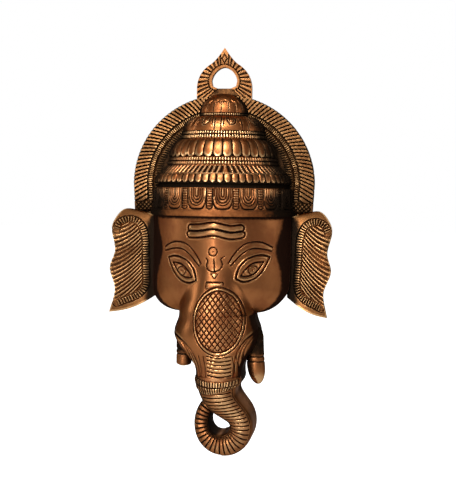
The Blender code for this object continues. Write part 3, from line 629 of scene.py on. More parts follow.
def copper(name, tone, second, bright, wax_and_shade=WAX_AND_SHADE, size=60.0):
    """Antique copper: a cloudy wash, rubbed crests and painted highlights, dark wax in the hollows and
    painted shade, and a cast skin under it all.
    """
    finish = bpy.data.materials.new(name)
    finish.use_nodes = True
    tree = finish.node_tree
    patina_and_shade = node(tree, "ShaderNodeAttribute", attribute_name="patina_and_shade").outputs["Fac"]
    rub_and_highlight = node(tree, "ShaderNodeAttribute", attribute_name="rub_and_highlight").outputs["Fac"]
    wash = placed(tree, cloudy_tone, {"First": tone, "Second": second, "Size": size})
    rubbed_and_highlighted = placed(tree, rub_and_painted_highlight, {"Metal": wash["Colour"], "Bright": bright, "Rub and highlight": rub_and_highlight})
    waxed_and_shaded = placed(tree, wax_and_painted_shade, {"Metal": rubbed_and_highlighted["Colour"], "Wax and shade": wax_and_shade, "Patina and shade": patina_and_shade})
    skin = placed(tree, cast_skin, {})
    duller = plus(tree, times(tree, waxed_and_shaded["Amount"], 0.3), BASE_ROUGHNESS)
    duller = plus(tree, duller, times(tree, wash["Cloud"], 0.08))
    bump = node(tree, "ShaderNodeBump", {"Strength": 0.35, "Distance": 0.00006, "Height": skin["Height"]})
    fill(tree, tree.nodes["Principled BSDF"].inputs, {
        "Base Color": blend_colours(tree, times(tree, skin["Pit"], 0.6), waxed_and_shaded["Colour"], wax_and_shade),
        "Roughness": less(tree, duller, times(tree, rubbed_and_highlighted["Amount"], 0.1)),
        "Metallic": less(tree, 1.0, times(tree, waxed_and_shaded["Amount"], 0.08)),
        "Specular IOR Level": 0.3,
        "Specular Tint": GRAZING_TINT,
        "Normal": bump.outputs["Normal"],
    })
    return finish


# Crown
def crown_profile(bands, count):
    """Half section of a run of bands as height, radius, band number and share down the band, evenly spaced.

    A bulge is a quarter ellipse from its neck out to its foot; the other bands run straight.
    """
    heights, radii, number, down = [], [], [], []
    for k, (kind, top, foot, start, end) in enumerate(bands):
        fallen = grown = np.linspace(0, 1, BAND_POINTS)
        if kind == "bulge":
            turn = fallen * math.pi / 2
            fallen, grown = 1 - np.cos(turn), np.sin(turn)
        heights.append(top + (foot - top) * fallen)
        radii.append(start + (end - start) * grown)
        down.append(fallen)
        number.append(np.full(BAND_POINTS, k))
    line = np.stack([np.concatenate(part) for part in (heights, radii)], axis=1)
    length = lengths_along(line)
    at = np.linspace(0, length[-1], count)
    near = np.clip(np.searchsorted(length, at), 0, len(length) - 1)
    z, r = points_at(at, length, line).T
    return z, r, np.concatenate(number)[near], np.concatenate(down)[near]


def bead_row(turn, down, step):
    """Two rows of upright beads between thin rails: height over the band."""
    row = np.abs(down * 2 % 1 - 0.5) * 2
    bead = (1 - off_beat(turn, step) ** 4) * fade(0.5, 0.95, row)
    return BEAD_RISE * (0.9 * bead - 0.5 * (1 - np.maximum(bead, ease(0.86, 1.0, row))))


def cap_carving(turn, down):
    """Short petals: slits up the cap's lower half, with a bowed crest over each petal."""
    beat = off_beat(turn, CAP_PETAL_STEP, CAP_PETAL_AT)
    slit = groove(beat, 0.14) * ease(0.42, 0.55, down)
    petal = groove(np.abs(down - 0.42 - 0.3 * (1 - beat) ** 2), 0.07) * ease(0.25, 0.5, beat)
    return -0.85 * MM * slit - 0.35 * MM * petal


def scroll_carving(turn, down):
    """Hanging loops between pairs of upright lines, with a fan of slits beside each pair."""
    across = from_beat(turn, SCROLL_STEP, SCROLL_AT)
    arc = np.hypot(across / 6.4, np.clip(down - 0.28, 0, None) / 0.34)
    hook = groove(np.abs(arc - 1), 0.18) * (down < 0.75)
    inner = groove(np.abs(arc - 0.55), 0.14) * (down < 0.6)
    pair = np.abs(np.abs(across) - (SCROLL_STEP / 2 - 4.7))
    line = groove(pair, 1.0) * ease(0.02, 0.2, down)
    slits = groove(np.abs(np.abs(across) - 10.5 - 2.0 * down), 0.7)
    fan = slits * ease(0.1, 0.3, down) * fade(0.6, 0.8, down)
    return -0.85 * MM * np.maximum.reduce([hook, 0.6 * inner, line, 0.7 * fan])


def gadroon_carving(turn, down):
    """Plump lobes parted by deep slits, each round at its foot: c^2 + f^2 = 1 beyond the straight part."""
    across = 1 - off_beat(turn, GADROON_STEP, GADROON_AT)
    foot = np.clip((down - 0.72) / 0.3, 0, None)
    edge = np.hypot(across, foot)
    return -0.35 * MM * across**2.5 - 1.25 * MM * ease(0.86, 1.0, edge)


def flute_carving(turn, down):
    """Slanting flutes that part at the middle and lean outwards on the way down."""
    lean = 2.6 * down * np.tanh((turn - FLUTE_PARTING) / 3)
    across = off_beat(turn - lean, FLUTE_STEP, FLUTE_PARTING + FLUTE_STEP / 2)
    ends = ease(0.0, 0.1, down) * fade(0.9, 1.0, down)
    return -0.85 * MM * fade(0.18, 0.72, across) * ends


def knop_carving(turn, down):
    """Small upright lobes, their slits rounded at the foot."""
    across = 1 - off_beat(turn, KNOP_STEP, KNOP_AT)
    foot = np.clip((down - 0.55) / 0.42, 0, None)
    edge = np.hypot(across, 0.9 * foot)
    rim = groove(down, 0.07)
    return -0.3 * MM * across**2 - 0.9 * MM * ease(0.72, 0.95, edge) - 0.5 * MM * rim


def petal_carving(turn, down):
    """Nested U petals with a wide scallop round each, and a laddered bar between neighbours."""
    away = from_beat(turn, PETAL_STEP, LADDER_AT)
    bar = np.abs(away) * math.radians(1) * BRIM_RADIUS
    middle = (PETAL_STEP / 2 - np.abs(away)) * math.radians(1) * BRIM_RADIUS
    drop = down * PETAL_HEIGHT
    nested = np.hypot(middle, 0.78 * np.clip(drop - 4.4 * MM, 0, None))
    ridges = 0.5 + 0.5 * np.cos(2 * math.pi * (nested - 1.5 * MM) / (1.42 * MM))
    inside = (nested < 5.1 * MM) & (nested > 0.4 * MM)
    cut = 0.65 * MM * np.where(inside, 1 - ridges, 0)
    scallop = (middle / (5.9 * MM)) ** 4 + (drop / (12.6 * MM)) ** 4
    cut = np.maximum(cut, 0.9 * MM * groove(np.abs(scallop**0.25 - 1), 0.065))
    side = groove(np.abs(bar - 1.75 * MM), 0.55 * MM) * (drop < 12.2 * MM)
    rungs = (0.5 - 0.5 * np.cos(2 * math.pi * drop / (1.45 * MM))) * (bar < 1.3 * MM) * (drop < 11.4 * MM)
    end = groove(np.abs(np.hypot(bar, np.clip(drop - 10.9 * MM, 0, None)) - 1.75 * MM), 0.5 * MM)
    cut = np.maximum.reduce([cut, 1.0 * MM * side, 0.6 * MM * rungs, 0.6 * MM * end * (drop > 10.9 * MM)])
    return -cut * ease(0, 0.04, down)


def crown_piece(name, bands, carvings, grid, material, neck_bands=(), polish=1.0):
    """A run of crown bands: x = r cos t, relief = plate + 0.8 r sin t, carved along the section's normal."""
    rows, columns = grid
    z, r, number, down = crown_profile(bands, rows)
    fall, grow = (blurred(np.gradient(line)[:, None], 2)[:, 0] for line in (z, r))
    size = np.hypot(fall, grow)
    out, up = -fall / size, grow / size
    turn = np.linspace(0, 180, columns)
    t_all, d_all = np.broadcast_arrays(turn[None, :], down[:, None])
    cut = np.zeros(t_all.shape)
    for k, carve in enumerate(carvings):
        if carve is not None:
            rows_here = number == k
            cut[rows_here] = carve(t_all[rows_here], d_all[rows_here])
    radius = r[:, None] + cut * out[:, None]
    angle = np.radians(turn)[None, :]
    x = radius * np.cos(angle)
    y = -PLATE * 0.6 - CROWN_DEPTH_SHARE * radius * np.sin(angle) - PLATE * 0.4 * np.sin(angle) ** 0.3
    front = np.stack([x, y, z[:, None] + cut * up[:, None]], axis=2)
    # Painted shade: darker on the crown's flanks and over the whole petal band, at the steps between bands
    # and on the neck under the knops; less rub on the petal band
    low = ease(76 * MM, 82 * MM, -z)[:, None]
    sides = ease(0.5, 1.0, np.abs(np.cos(angle))) * (0.75 - 0.05 * low) + 0.28 * low
    profile = r[:, None] + 0 * cut
    step = blurred(profile, 9) - profile
    shade = 1 - (1 - sides) * (1 - np.clip(step / (1.6 * MM), 0, 0.85))
    under = np.isin(number, neck_bands)[:, None] * 0.95
    patina_and_shade, rub_and_highlight = wear_of(cut, 3, FINE_WEAR, np.maximum(shade, under))
    rub_and_highlight = rub_and_highlight * (1 - 0.45 * low) * polish
    pick = np.arange(0, rows, BACK_STEP)
    turns = np.radians(turn[::BACK_STEP])[None, :]
    plain = np.minimum.accumulate(r[::-1])[::-1][pick] - WALL
    inner = np.clip(plain, 1.5 * MM, None)[:, None]
    back_y = -PLATE * 0.4 - (CROWN_DEPTH_SHARE * inner - 0.3 * WALL) * np.sin(turns)
    back_z = z[pick][:, None] - WALL * (1 - np.arange(len(pick)) / (len(pick) - 1))[:, None] * np.sin(turns)
    back = np.stack([inner * np.cos(turns), back_y, back_z + 0 * turns], axis=2)
    shell(name, front, back, patina_and_shade, rub_and_highlight, material)


def crown(material):
    """The crown in two pieces: cap to gadroons, then beads to the smooth brim."""
    def beads(step, rows=1.0):
        """The carving of a bead band: two rows of beads, or one where rows is a half."""
        return lambda turn, down: bead_row(turn, down * rows, step)

    z = -CROWN_TOP_DROP - np.cumsum([
        0, CAP_HEIGHT, CAP_BEADS_HEIGHT, DOME_HEIGHT, UPPER_BEADS_HEIGHT, GADROON_HEIGHT, LOWER_BEADS_HEIGHT,
        FLUTE_HEIGHT, KNOP_HEIGHT, NECK_HEIGHT, PETAL_HEIGHT, BRIM_HEIGHT])
    top = [
        ("bulge", z[0], z[1], 0.02 * CAP_RADIUS, CAP_RADIUS),
        ("straight", z[1], z[2], CAP_RADIUS - BEAD_RISE, CAP_RADIUS),
        ("bulge", z[2], z[3], CAP_RADIUS, DOME_RADIUS),
        ("straight", z[3], z[4], DOME_RADIUS - BEAD_RISE, DOME_RADIUS + BEAD_RISE),
        ("bulge", z[4], z[5], DOME_RADIUS + 0.5 * BEAD_RISE, GADROON_RADIUS),
    ]
    cap_beads, upper_beads = beads(CAP_BEAD_STEP, 0.5), beads(UPPER_BEAD_STEP)
    carvings = [cap_carving, cap_beads, scroll_carving, upper_beads, gadroon_carving]
    crown_piece("crown_dome", top, carvings, DOME_GRID, material)
    low = [
        ("straight", z[5] + 1.2 * MM, z[5], GADROON_RADIUS - 2.4 * MM, GADROON_RADIUS - 1.2 * BEAD_RISE),
        ("straight", z[5], z[6], GADROON_RADIUS - 1.2 * BEAD_RISE, GADROON_RADIUS + BEAD_RISE),
        ("straight", z[6], z[7], GADROON_RADIUS + 1.5 * BEAD_RISE, FLUTE_RADIUS),
        ("bulge", z[7], z[8], FLUTE_RADIUS, KNOP_RADIUS),
        ("straight", z[8], z[9], KNOP_RADIUS - NECK_CUT, BRIM_RADIUS - NECK_CUT),
        ("straight", z[9], z[10], BRIM_RADIUS - BRIM_PROUD, BRIM_RADIUS),
        ("straight", z[10], z[11], BRIM_RADIUS + BRIM_PROUD, BRIM_RADIUS + 0.4 * BRIM_PROUD),
    ]
    carvings = [None, beads(LOWER_BEAD_STEP), flute_carving, knop_carving, None, petal_carving, None]
    crown_piece("crown_bands", low, carvings, BANDS_GRID, material, neck_bands=(4,), polish=0.72)


# Head
def root_share(z):
    """How far the trunk has risen out of the face: 0 between the brows, 1 where it leaves the jaw."""
    return ease(ROOT_START_DROP, ROOT_DROP - ROOT_RUN_OUT, -z)


def face_half_width(z):
    """Half width of the face and trunk root at a height, down to the bracelet."""
    drop = -z
    jaw = rounded((drop - JAW_BEND) / JAW_ROUND)
    face = np.where(drop < JAW_BEND, FACE_HALF_WIDTH, FACE_HALF_WIDTH * (0.45 + 0.55 * jaw))
    face = np.where(drop > JAW_DROP, 0, face)
    root = ROOT_HALF_WIDTH - ROOT_NARROWING * fade(JAW_DROP, ROOT_DROP, drop)
    root = root + (WRIST_HALF_WIDTH - ROOT_HALF_WIDTH) * ease(ROOT_DROP, WRIST_DROP - WRIST_EASE, drop)
    return np.maximum(face, root)


def root_centre(z):
    """Sideways place of the trunk's middle above the bracelet."""
    aside = ROOT_OFFSET * ease(ROOT_START_DROP, JAW_DROP, -z)
    return aside + (WRIST_CENTRE_X - ROOT_OFFSET) * ease(ROOT_DROP, WRIST_DROP, -z)


def face_height(x, z):
    """Relief of the face and the trunk root: the larger of a low dome across the face and the trunk."""
    drop = -z
    wide = face_half_width(z)
    side = np.clip(np.abs(x) / FACE_HALF_WIDTH, 0, 1)
    full = BROW_DEPTH + (CHEEK_DEPTH - BROW_DEPTH) * ease(FACE_TOP_DROP, JAW_DROP, drop)
    past_bend = np.clip(drop - JAW_BEND, 0, None) / JAW_ROUND
    round_off = np.sqrt(np.clip(1 - past_bend**2, 0.02, 1))
    dome = FACE_SKIRT + (full - FACE_SKIRT) * (1 - side**1.6) ** 0.75 * round_off
    share = root_share(z)
    neck = (ROOT_HALF_WIDTH - ROOT_NARROWING) * (0.55 + 0.45 * share)
    half = np.where(drop < JAW_DROP, neck, wide)
    across = np.clip(np.abs(x - root_centre(z)) / half, 0, 1)
    deep = ROOT_DEPTH + (WRIST_DEPTH - ROOT_DEPTH) * ease(ROOT_DROP + SEAT_OVERLAP, WRIST_DROP, drop)
    skirt = ROOT_SKIRT + ROOT_SKIRT_GAIN * ease(ROOT_DROP, WRIST_DROP, drop)
    trunk = np.where(across < 1, skirt + (deep - skirt) * (1 - across**2.4) ** 0.5, 0)
    rise = ease(ROOT_START_DROP - ROOT_RUN_OUT, ROOT_START_DROP + 2 * SEAT_OVERLAP, drop)
    trunk = trunk * (0.8 + 0.2 * share) * rise
    gap = np.clip(BLEND - np.abs(dome - trunk), 0, None) * fade(JAW_DROP - 7 * MM, JAW_DROP, drop)
    return np.where(drop > JAW_DROP, trunk, np.maximum(dome, trunk) + gap**2 / (4 * BLEND))


def nearest_on(path, x, z):
    """Least distance from each place to a chain of straight runs, and how far along the chain that is."""
    far = np.full(x.shape, np.inf)
    along = np.zeros(x.shape)
    for a, b, start in zip(path[:-1], path[1:], lengths_along(path)):
        run = b - a
        share = np.clip(((x - a[0]) * run[0] + (z - a[1]) * run[1]) / (run @ run), 0, 1)
        here = np.hypot(x - a[0] - share * run[0], z - a[1] - share * run[1])
        along = np.where(here < far, start + share * math.hypot(*run), along)
        far = np.minimum(far, here)
    return far, along


def distance_to(path, x, z):
    """Least distance from each place to a chain of straight runs."""
    return nearest_on(path, x, z)[0]


def inside_of(path, x, z):
    """True where a place lies inside a closed outline, by counting the sides crossed on the way out."""
    odd = np.zeros(x.shape, bool)
    for a, b in zip(path, np.roll(path, -1, axis=0)):
        spans = (a[1] > z) != (b[1] > z)
        with np.errstate(divide="ignore", invalid="ignore"):
            at = a[0] + (z - a[1]) / (b[1] - a[1]) * (b[0] - a[0])
        odd ^= spans & (x < at)
    return odd


def cut_line(x, z, path, half, deep):
    """A carved line along a path: its depth at each place."""
    return deep * groove(distance_to(path, x, z), half)


def raised_bar(x, z, path, half, rise):
    """A round-topped bar along a path, with a carved line close round it and a low lip outside that."""
    far = distance_to(path, x, z)
    top = rise * rounded(far / half)
    lip = 0.3 * MM * groove(np.abs(far - half - 1.35 * MM), 0.6 * MM)
    return top + lip - 0.75 * MM * groove(np.abs(far - half - 0.3 * MM), 0.65 * MM)


def brow_carving(x, z, side):
    """A brow: a band between two carved lines that meet towards the temple."""
    lift = EYE_LIFT / MM * side * 0.5
    upper = [(32.9, -110.3), (29.7, -108.4), (26.4, -107.1), (22.9, -106.9), (18.8, -107.7), (15.4, -109.9),
             (12.4, -113.0), (10.2, -116.2), (8.4, -119.5)]
    lower = [(32.6, -112.6), (28.4, -111.4), (24.4, -110.8), (20.9, -111.1), (17.5, -112.9), (14.0, -115.9),
             (11.7, -118.6), (9.6, -120.9)]
    lines = [smooth_through((np.array(run) + [0, lift]) * [side, 1] * MM, 30) for run in (upper, lower)]
    band = np.minimum.reduce([distance_to(run, x, z) for run in lines])
    between = inside_of(np.vstack([lines[0], lines[1][::-1]]), x, z)
    return 0.3 * MM * between - 0.85 * MM * groove(band, 0.78 * MM)


def eye_carving(x, z, side):
    """Two nested almonds: the outer a raised lid, the inner a sunk ball with an iris ring and a pupil."""
    outer = [(30.9, -116.4), (27.4, -115.3), (23.7, -115.5), (20.3, -116.6), (17.0, -118.7), (14.2, -122.0),
             (12.7, -125.5), (12.0, -129.3)]
    below = [(12.0, -129.3), (15.6, -131.0), (18.6, -130.9), (21.6, -129.9), (24.4, -127.9), (26.8, -125.0),
             (28.6, -121.9), (30.0, -119.0), (30.9, -116.4)]
    inner = [(27.4, -119.3), (24.6, -119.4), (21.9, -120.0), (19.0, -122.0), (16.4, -124.9), (14.9, -127.6)]
    under = [(14.9, -127.6), (17.2, -127.9), (19.6, -127.6), (21.8, -126.7), (23.5, -125.3), (25.1, -123.3),
             (26.5, -121.2), (27.4, -119.3)]
    rings = []
    for upper, lower in ((outer, below), (inner, under)):
        shift = np.array([EYE_ASIDE, EYE_LIFT]) / MM * side
        arcs = [smooth_through((np.array(run) + shift) * [side, 1] * MM, 26) for run in (upper, lower)]
        rings.append(np.vstack([arcs[0], arcs[1][1:]]))
    lid, ball = (inside_of(ring, x, z) for ring in rings)
    lid_far, ball_far = (distance_to(ring, x, z) for ring in rings)
    shape = 0.45 * MM * (lid & ~ball) * ease(0.2 * MM, 1.2 * MM, np.minimum(lid_far, ball_far))
    shape = shape + 0.3 * MM * groove(np.abs(lid_far - 0.95 * MM), 0.5 * MM) * ~lid
    shape = shape - 0.85 * MM * groove(lid_far, 0.72 * MM) - 0.8 * MM * groove(ball_far, 0.65 * MM)
    far = np.hypot(x - side * 21.6 * MM - EYE_ASIDE, z + 124.1 * MM - EYE_LIFT * side)
    round_part = 0.7 * MM * rounded(far / (4.6 * MM))
    iris = 0.8 * MM * groove(np.abs(far - 2.6 * MM), 0.5 * MM) + 0.7 * MM * groove(far, 0.9 * MM)
    return shape + (round_part - iris) * ball * ease(0.3 * MM, 0.8 * MM, ball_far)


def forehead_carving(x, z):
    """Two waved bars, a ringed mark, a three-pronged sign with a dart below it, and a small bar."""
    runs = [smooth_through(np.array(run) * MM, 50) for run in TILAK_BARS]
    bars = [raised_bar(x, z, run, 1.7 * MM, 0.7 * MM) for run in runs]
    total = np.where(np.minimum(*bars) < 0, np.minimum(*bars), np.maximum(*bars))
    ring = np.hypot(x + 0.9 * MM, z + 112.5 * MM)
    total = total - 0.6 * MM * groove(np.abs(ring - 2.6 * MM), 0.5 * MM) - 0.25 * MM * groove(ring, 0.7 * MM)
    prongs = (
        [(-5.2, -116.4), (-4.2, -117.6), (-4.3, -119.4), (-4.8, -121.2), (-3.9, -123.0), (-2.0, -124.2),
         (0.4, -124.4), (2.9, -123.5), (4.4, -121.7), (4.7, -119.5), (3.9, -117.4), (4.5, -116.0),
         (5.9, -115.4)],
        [(-0.3, -117.2), (0.0, -120.9), (0.3, -124.2)],
    )
    for prong in prongs:
        total = total - cut_line(x, z, smooth_through(np.array(prong) * MM, 40), 0.62 * MM, 0.7 * MM)
    dart = np.array([(-1.8, -125.6), (2.4, -125.5), (0.5, -128.6)]) * MM
    closed = np.vstack([dart, dart[:1]])
    total = total + 0.5 * MM * inside_of(dart, x, z) - 0.45 * MM * groove(distance_to(closed, x, z), 0.5 * MM)
    half_wide, half_high = 5.1 * MM, 2.0 * MM
    px, pz = np.abs(x - 0.5 * MM) - half_wide, np.abs(z + 132.6 * MM) - half_high
    box = np.hypot(np.clip(px, 0, None), np.clip(pz, 0, None)) + np.minimum(np.maximum(px, pz), 0)
    return total - 0.65 * MM * groove(np.abs(box), 0.5 * MM) + 0.35 * MM * fade(-1.2 * MM, -0.2 * MM, box)


def oval_share(x, z):
    """Place in the oval panel: 0 in the middle, 1 on its outer edge."""
    return np.hypot((x - OVAL_X) / OVAL_HALF_WIDTH, (z + OVAL_DROP) / OVAL_HALF_HEIGHT)


def oval_carving(x, z):
    """The oval panel: a double rim round crossed diagonal cuts."""
    share = oval_share(x, z)
    rim = 0.5 * MM * groove(np.abs(share - 0.945), 0.055)
    lines = 0.65 * MM * np.maximum(groove(np.abs(share - 1.0), 0.036), groove(np.abs(share - 0.89), 0.036))
    across, down = (x - OVAL_X) / HATCH_ACROSS, (z + OVAL_DROP) / HATCH_DOWN
    return rim - lines - 0.62 * MM * crossed(across + down, across - down, 1, 0.4) * (share < 0.86)


def root_carving(x, z):
    """The trunk root: lines that sweep from the tusks to the bracelet, and a panel of cross cuts."""
    total = np.zeros(x.shape)
    left = [(-27.0, -162.0), (-21.0, -166.0), (-16.0, -172.5), (-13.4, -180.0), (-12.6, -188.0)]
    right = [(28.0, -159.0), (23.0, -163.5), (18.5, -171.0), (16.6, -179.0), (16.2, -188.0)]
    for path, side in ((left, -1), (right, 1)):
        for k in range(3):
            run = smooth_through((np.array(path) - [side * 2.1 * k, 0.9 * k]) * MM, 30)
            total = total - cut_line(x, z, run, 1.0 * MM, 1.2 * MM)
    for place in (-7.4, -4.6, 12.4, 14.4):
        run = np.array([(place - 0.9, -174.5), (place, -181.0), (place + 0.2, -188.0)]) * MM
        total = total - cut_line(x, z, run, 0.5 * MM, 0.5 * MM)
    along = np.linspace(-3.0, 10.6, 14)
    for k in range(6):
        bow = 0.9 * ((along - 3.8) / 6.8) ** 2
        run = np.stack([along, -175.5 - 2.4 * k + bow], axis=1) * MM
        total = total - cut_line(x, z, run, 0.7 * MM, 0.75 * MM)
    return total


def head_grid(heights):
    """Level sections of the head: x = middle + half width * cos t, t spaced by length along one of them."""
    turn = np.linspace(0, math.pi, CURVE_POINTS)
    wide = face_half_width(heights)[:, None]
    middle = root_centre(heights)[:, None]
    level = np.array([-FACE_TOP_DROP - 0.42 * FACE_HEIGHT])
    model, centre = face_half_width(level), root_centre(level)
    x = centre + model * np.cos(turn)
    y = face_height(np.clip(x, centre - 0.995 * model, centre + 0.995 * model), level + 0 * x)
    y[[0, -1]] = 0
    turn = even_turns(turn, np.stack([x, y], axis=1), HEAD_COLUMNS - SIDE_COLUMNS)
    x = middle + wide * np.cos(turn)[None, :]
    z = heights[:, None] + 0 * x
    relief = face_height(np.clip(x, middle - 0.995 * wide, middle + 0.995 * wide), z)
    return x, z, relief


def walled(x, z, relief, carving):
    """The relief grid with three more columns on each side that carry it straight back to the back plane."""
    rise = (0.02, 0.35, 0.7)
    left = [(x[:, :1], z[:, :1], share * relief[:, :1]) for share in rise]
    right = [(x[:, -1:], z[:, -1:], share * relief[:, -1:]) for share in rise[::-1]]
    across, high, deep = (np.hstack(grids) for grids in zip(*left, (x, z, relief + carving), *right))
    return np.stack([across, -deep, high], axis=2)


def head_piece(name, heights, material):
    """One stretch of the head: the carved relief outside, the same relief a wall lower inside."""
    x, z, relief = head_grid(heights)
    carving = head_carving(x, z)
    front = walled(x, z, relief, carving)
    # Painted shade: darker towards the face's sides, reaching further in at the temples, and under the
    # crown's brim
    x, drop = front[:, :, 0], -front[:, :, 2]
    away = np.abs(x - root_centre(-drop)) / face_half_width(-drop)
    waist = 0.09 * np.exp(-(((drop - 112 * MM) / (11 * MM)) ** 2)) * (drop < JAW_DROP)
    shade = np.maximum(ease(0.85, 0.95, away + waist) * 0.95, 0.9 * fade(91.5 * MM, 95 * MM, drop))
    patina_and_shade, rub_and_highlight = wear_of(np.pad(carving, ((0, 0), (3, 3))), 3, FINE_WEAR, shade)
    # Painted highlight: a bright patch on the trunk root's panel above the bracelet, added to the rub
    glow = ((x - 4.5 * MM) / (8 * MM)) ** 2 + ((drop - 181 * MM) / (9 * MM)) ** 2
    rub_and_highlight = 0.7 * rub_and_highlight + 0.5 * np.exp(-glow)
    slim = front[::BACK_STEP, ::BACK_STEP].copy()
    middle = root_centre(slim[:, :, 2])
    slim[:, :, 0] = middle + (slim[:, :, 0] - middle) * (1 - WALL / face_half_width(slim[:, :, 2]))
    slim[:, :, 1] = -np.clip(-slim[:, :, 1] - 1.1 * WALL, THIN, None)
    shell(name, front, slim, patina_and_shade, rub_and_highlight, material)


def head_carving(x, z):
    """All the carving of the face and the trunk root, the oval panel cutting off what runs into it."""
    total = forehead_carving(x, z) + root_carving(x, z)
    for side in (-1, 1):
        total = total + brow_carving(x, z, side) + eye_carving(x, z, side)
    return np.where(oval_share(x, z) > 1.05, total, 0) + oval_carving(x, z)


def head(material):
    """Face and trunk root on the same columns: even down the face, closer round the jaw, even below it."""
    jaw = -JAW_BEND - JAW_ROUND * np.sin(np.linspace(0, math.pi / 2, JAW_ROWS))
    lower = np.linspace(jaw[-1], -WRIST_DROP - 0.5 * SEAT_OVERLAP, ROOT_ROWS)
    head_piece("face", np.linspace(-FACE_TOP_DROP, -JAW_BEND, FACE_ROWS), material)
    head_piece("trunk_root", np.concatenate([jaw[:-1], lower]), material)


# Trunk
def trunk_path():
    """Middle line of the trunk: it runs down, swings aside, then curls round and up behind itself."""
    turns = [np.full(round(run / TRUNK_STEP), turn * TRUNK_STEP / run) for run, turn in TRUNK_TURNS]
    rates = np.concatenate(turns)
    soft = round(TRUNK_EASE / TRUNK_STEP)
    rates = np.convolve(np.pad(rates, soft, mode="edge"), np.full(soft, 1 / soft), mode="same")[soft:-soft]
    heading = -math.pi / 2 + np.cumsum(rates)
    x = WRIST_CENTRE_X + np.cumsum(np.cos(heading)) * TRUNK_STEP
    z = -WRIST_DROP + np.cumsum(np.sin(heading)) * TRUNK_STEP
    return even(np.stack([x, z], axis=1), 800)


def trunk_sizes(share):
    """Half width and depth along the trunk, from the bracelet at 0 to the tip at 1."""
    slim = ease(-0.05, 0.34, share)
    wide = WRIST_HALF_WIDTH + (CURL_HALF_WIDTH - WRIST_HALF_WIDTH) * slim
    wide = wide + (TIP_HALF_WIDTH - CURL_HALF_WIDTH) * ease(0.5, 0.85, share)
    deep = WRIST_DEPTH + (CURL_DEPTH - WRIST_DEPTH) * ease(0.05, 0.55, share)
    deep = deep + (TIP_DEPTH - CURL_DEPTH) * ease(0.55, 1, share)
    return wide, deep


def fold_carving(share, across, length, wide, tilt):
    """Folds over the front between two corner lines, and on the bracelet two rows of upright ticks.

    Near the bracelet across * half width * tan(tilt) keeps the folds level, although the trunk slants.
    """
    run = share * length
    droop = FOLD_DROOP * (1 - across**2) * fade(0.35, 0.6, share)
    level = across * wide * np.tan(tilt) * FOLD_LEVELLING
    fold = off_beat(run - droop - level * ease(0.02, 0.12, share), FOLD_PITCH, BRACELET_HEIGHT + 1.2 * MM)
    inside = fade(0.74, 0.8, np.abs(across))
    cut = -0.75 * MM * groove(fold, 0.55) * inside
    cut = cut - 0.6 * MM * groove(np.abs(np.abs(across) - 0.84), 0.05)
    row = (run - BRACELET_BOW * (1 - across**2)) / BRACELET_HEIGHT
    tick = groove(off_beat(across * 8.5 + 0.25 * (row > 0.5), 1), 0.56)
    band = np.abs((row * 2) % 1 - 0.5) * 2
    bracelet = np.maximum(tick * fade(0.7, 0.95, band), groove(1 - band, 0.3))
    on_bracelet = ease(0.0, 0.05, row) * fade(0.95, 1.0, row)
    return on_bracelet * (BRACELET_RISE - 1.0 * MM * bracelet) + cut * ease(1.0, 1.12, row)


def round_front(turn):
    """Section of the trunk's front, a superellipse: across = cos^0.7 t and height = sin^0.75 t."""
    return np.sign(np.cos(turn)) * np.abs(np.cos(turn)) ** 0.7, np.sin(turn).clip(0, 1) ** 0.75


def trunk_rings(share, arc):
    """Rings across the middle line: side walls, then a front of superellipse section between them."""
    path, length = trunk_path()
    at = share * (len(path) - 1)
    index = np.arange(len(path))
    place = points_at(at, index, path)
    run, aside = unit_and_left(points_at(at, index, np.gradient(path, axis=0)))
    wide, deep = trunk_sizes(share)
    turn = np.linspace(0, math.pi, CURVE_POINTS)
    across, front = round_front(even_turns(turn, np.stack(round_front(turn), axis=1), arc))
    rise = np.linspace(0, 1, SIDE_COLUMNS, endpoint=False)
    across = np.pad(across, SIDE_COLUMNS, mode="edge")
    lift = np.concatenate([rise, np.ones(arc), rise[::-1]])
    front = np.pad(front, SIDE_COLUMNS)
    tilt = np.clip(np.arctan2(run[:, 0], -run[:, 1]), 0, math.radians(50)) * (share < 0.5)
    return place, aside, wide, deep, across, lift, front, length, tilt


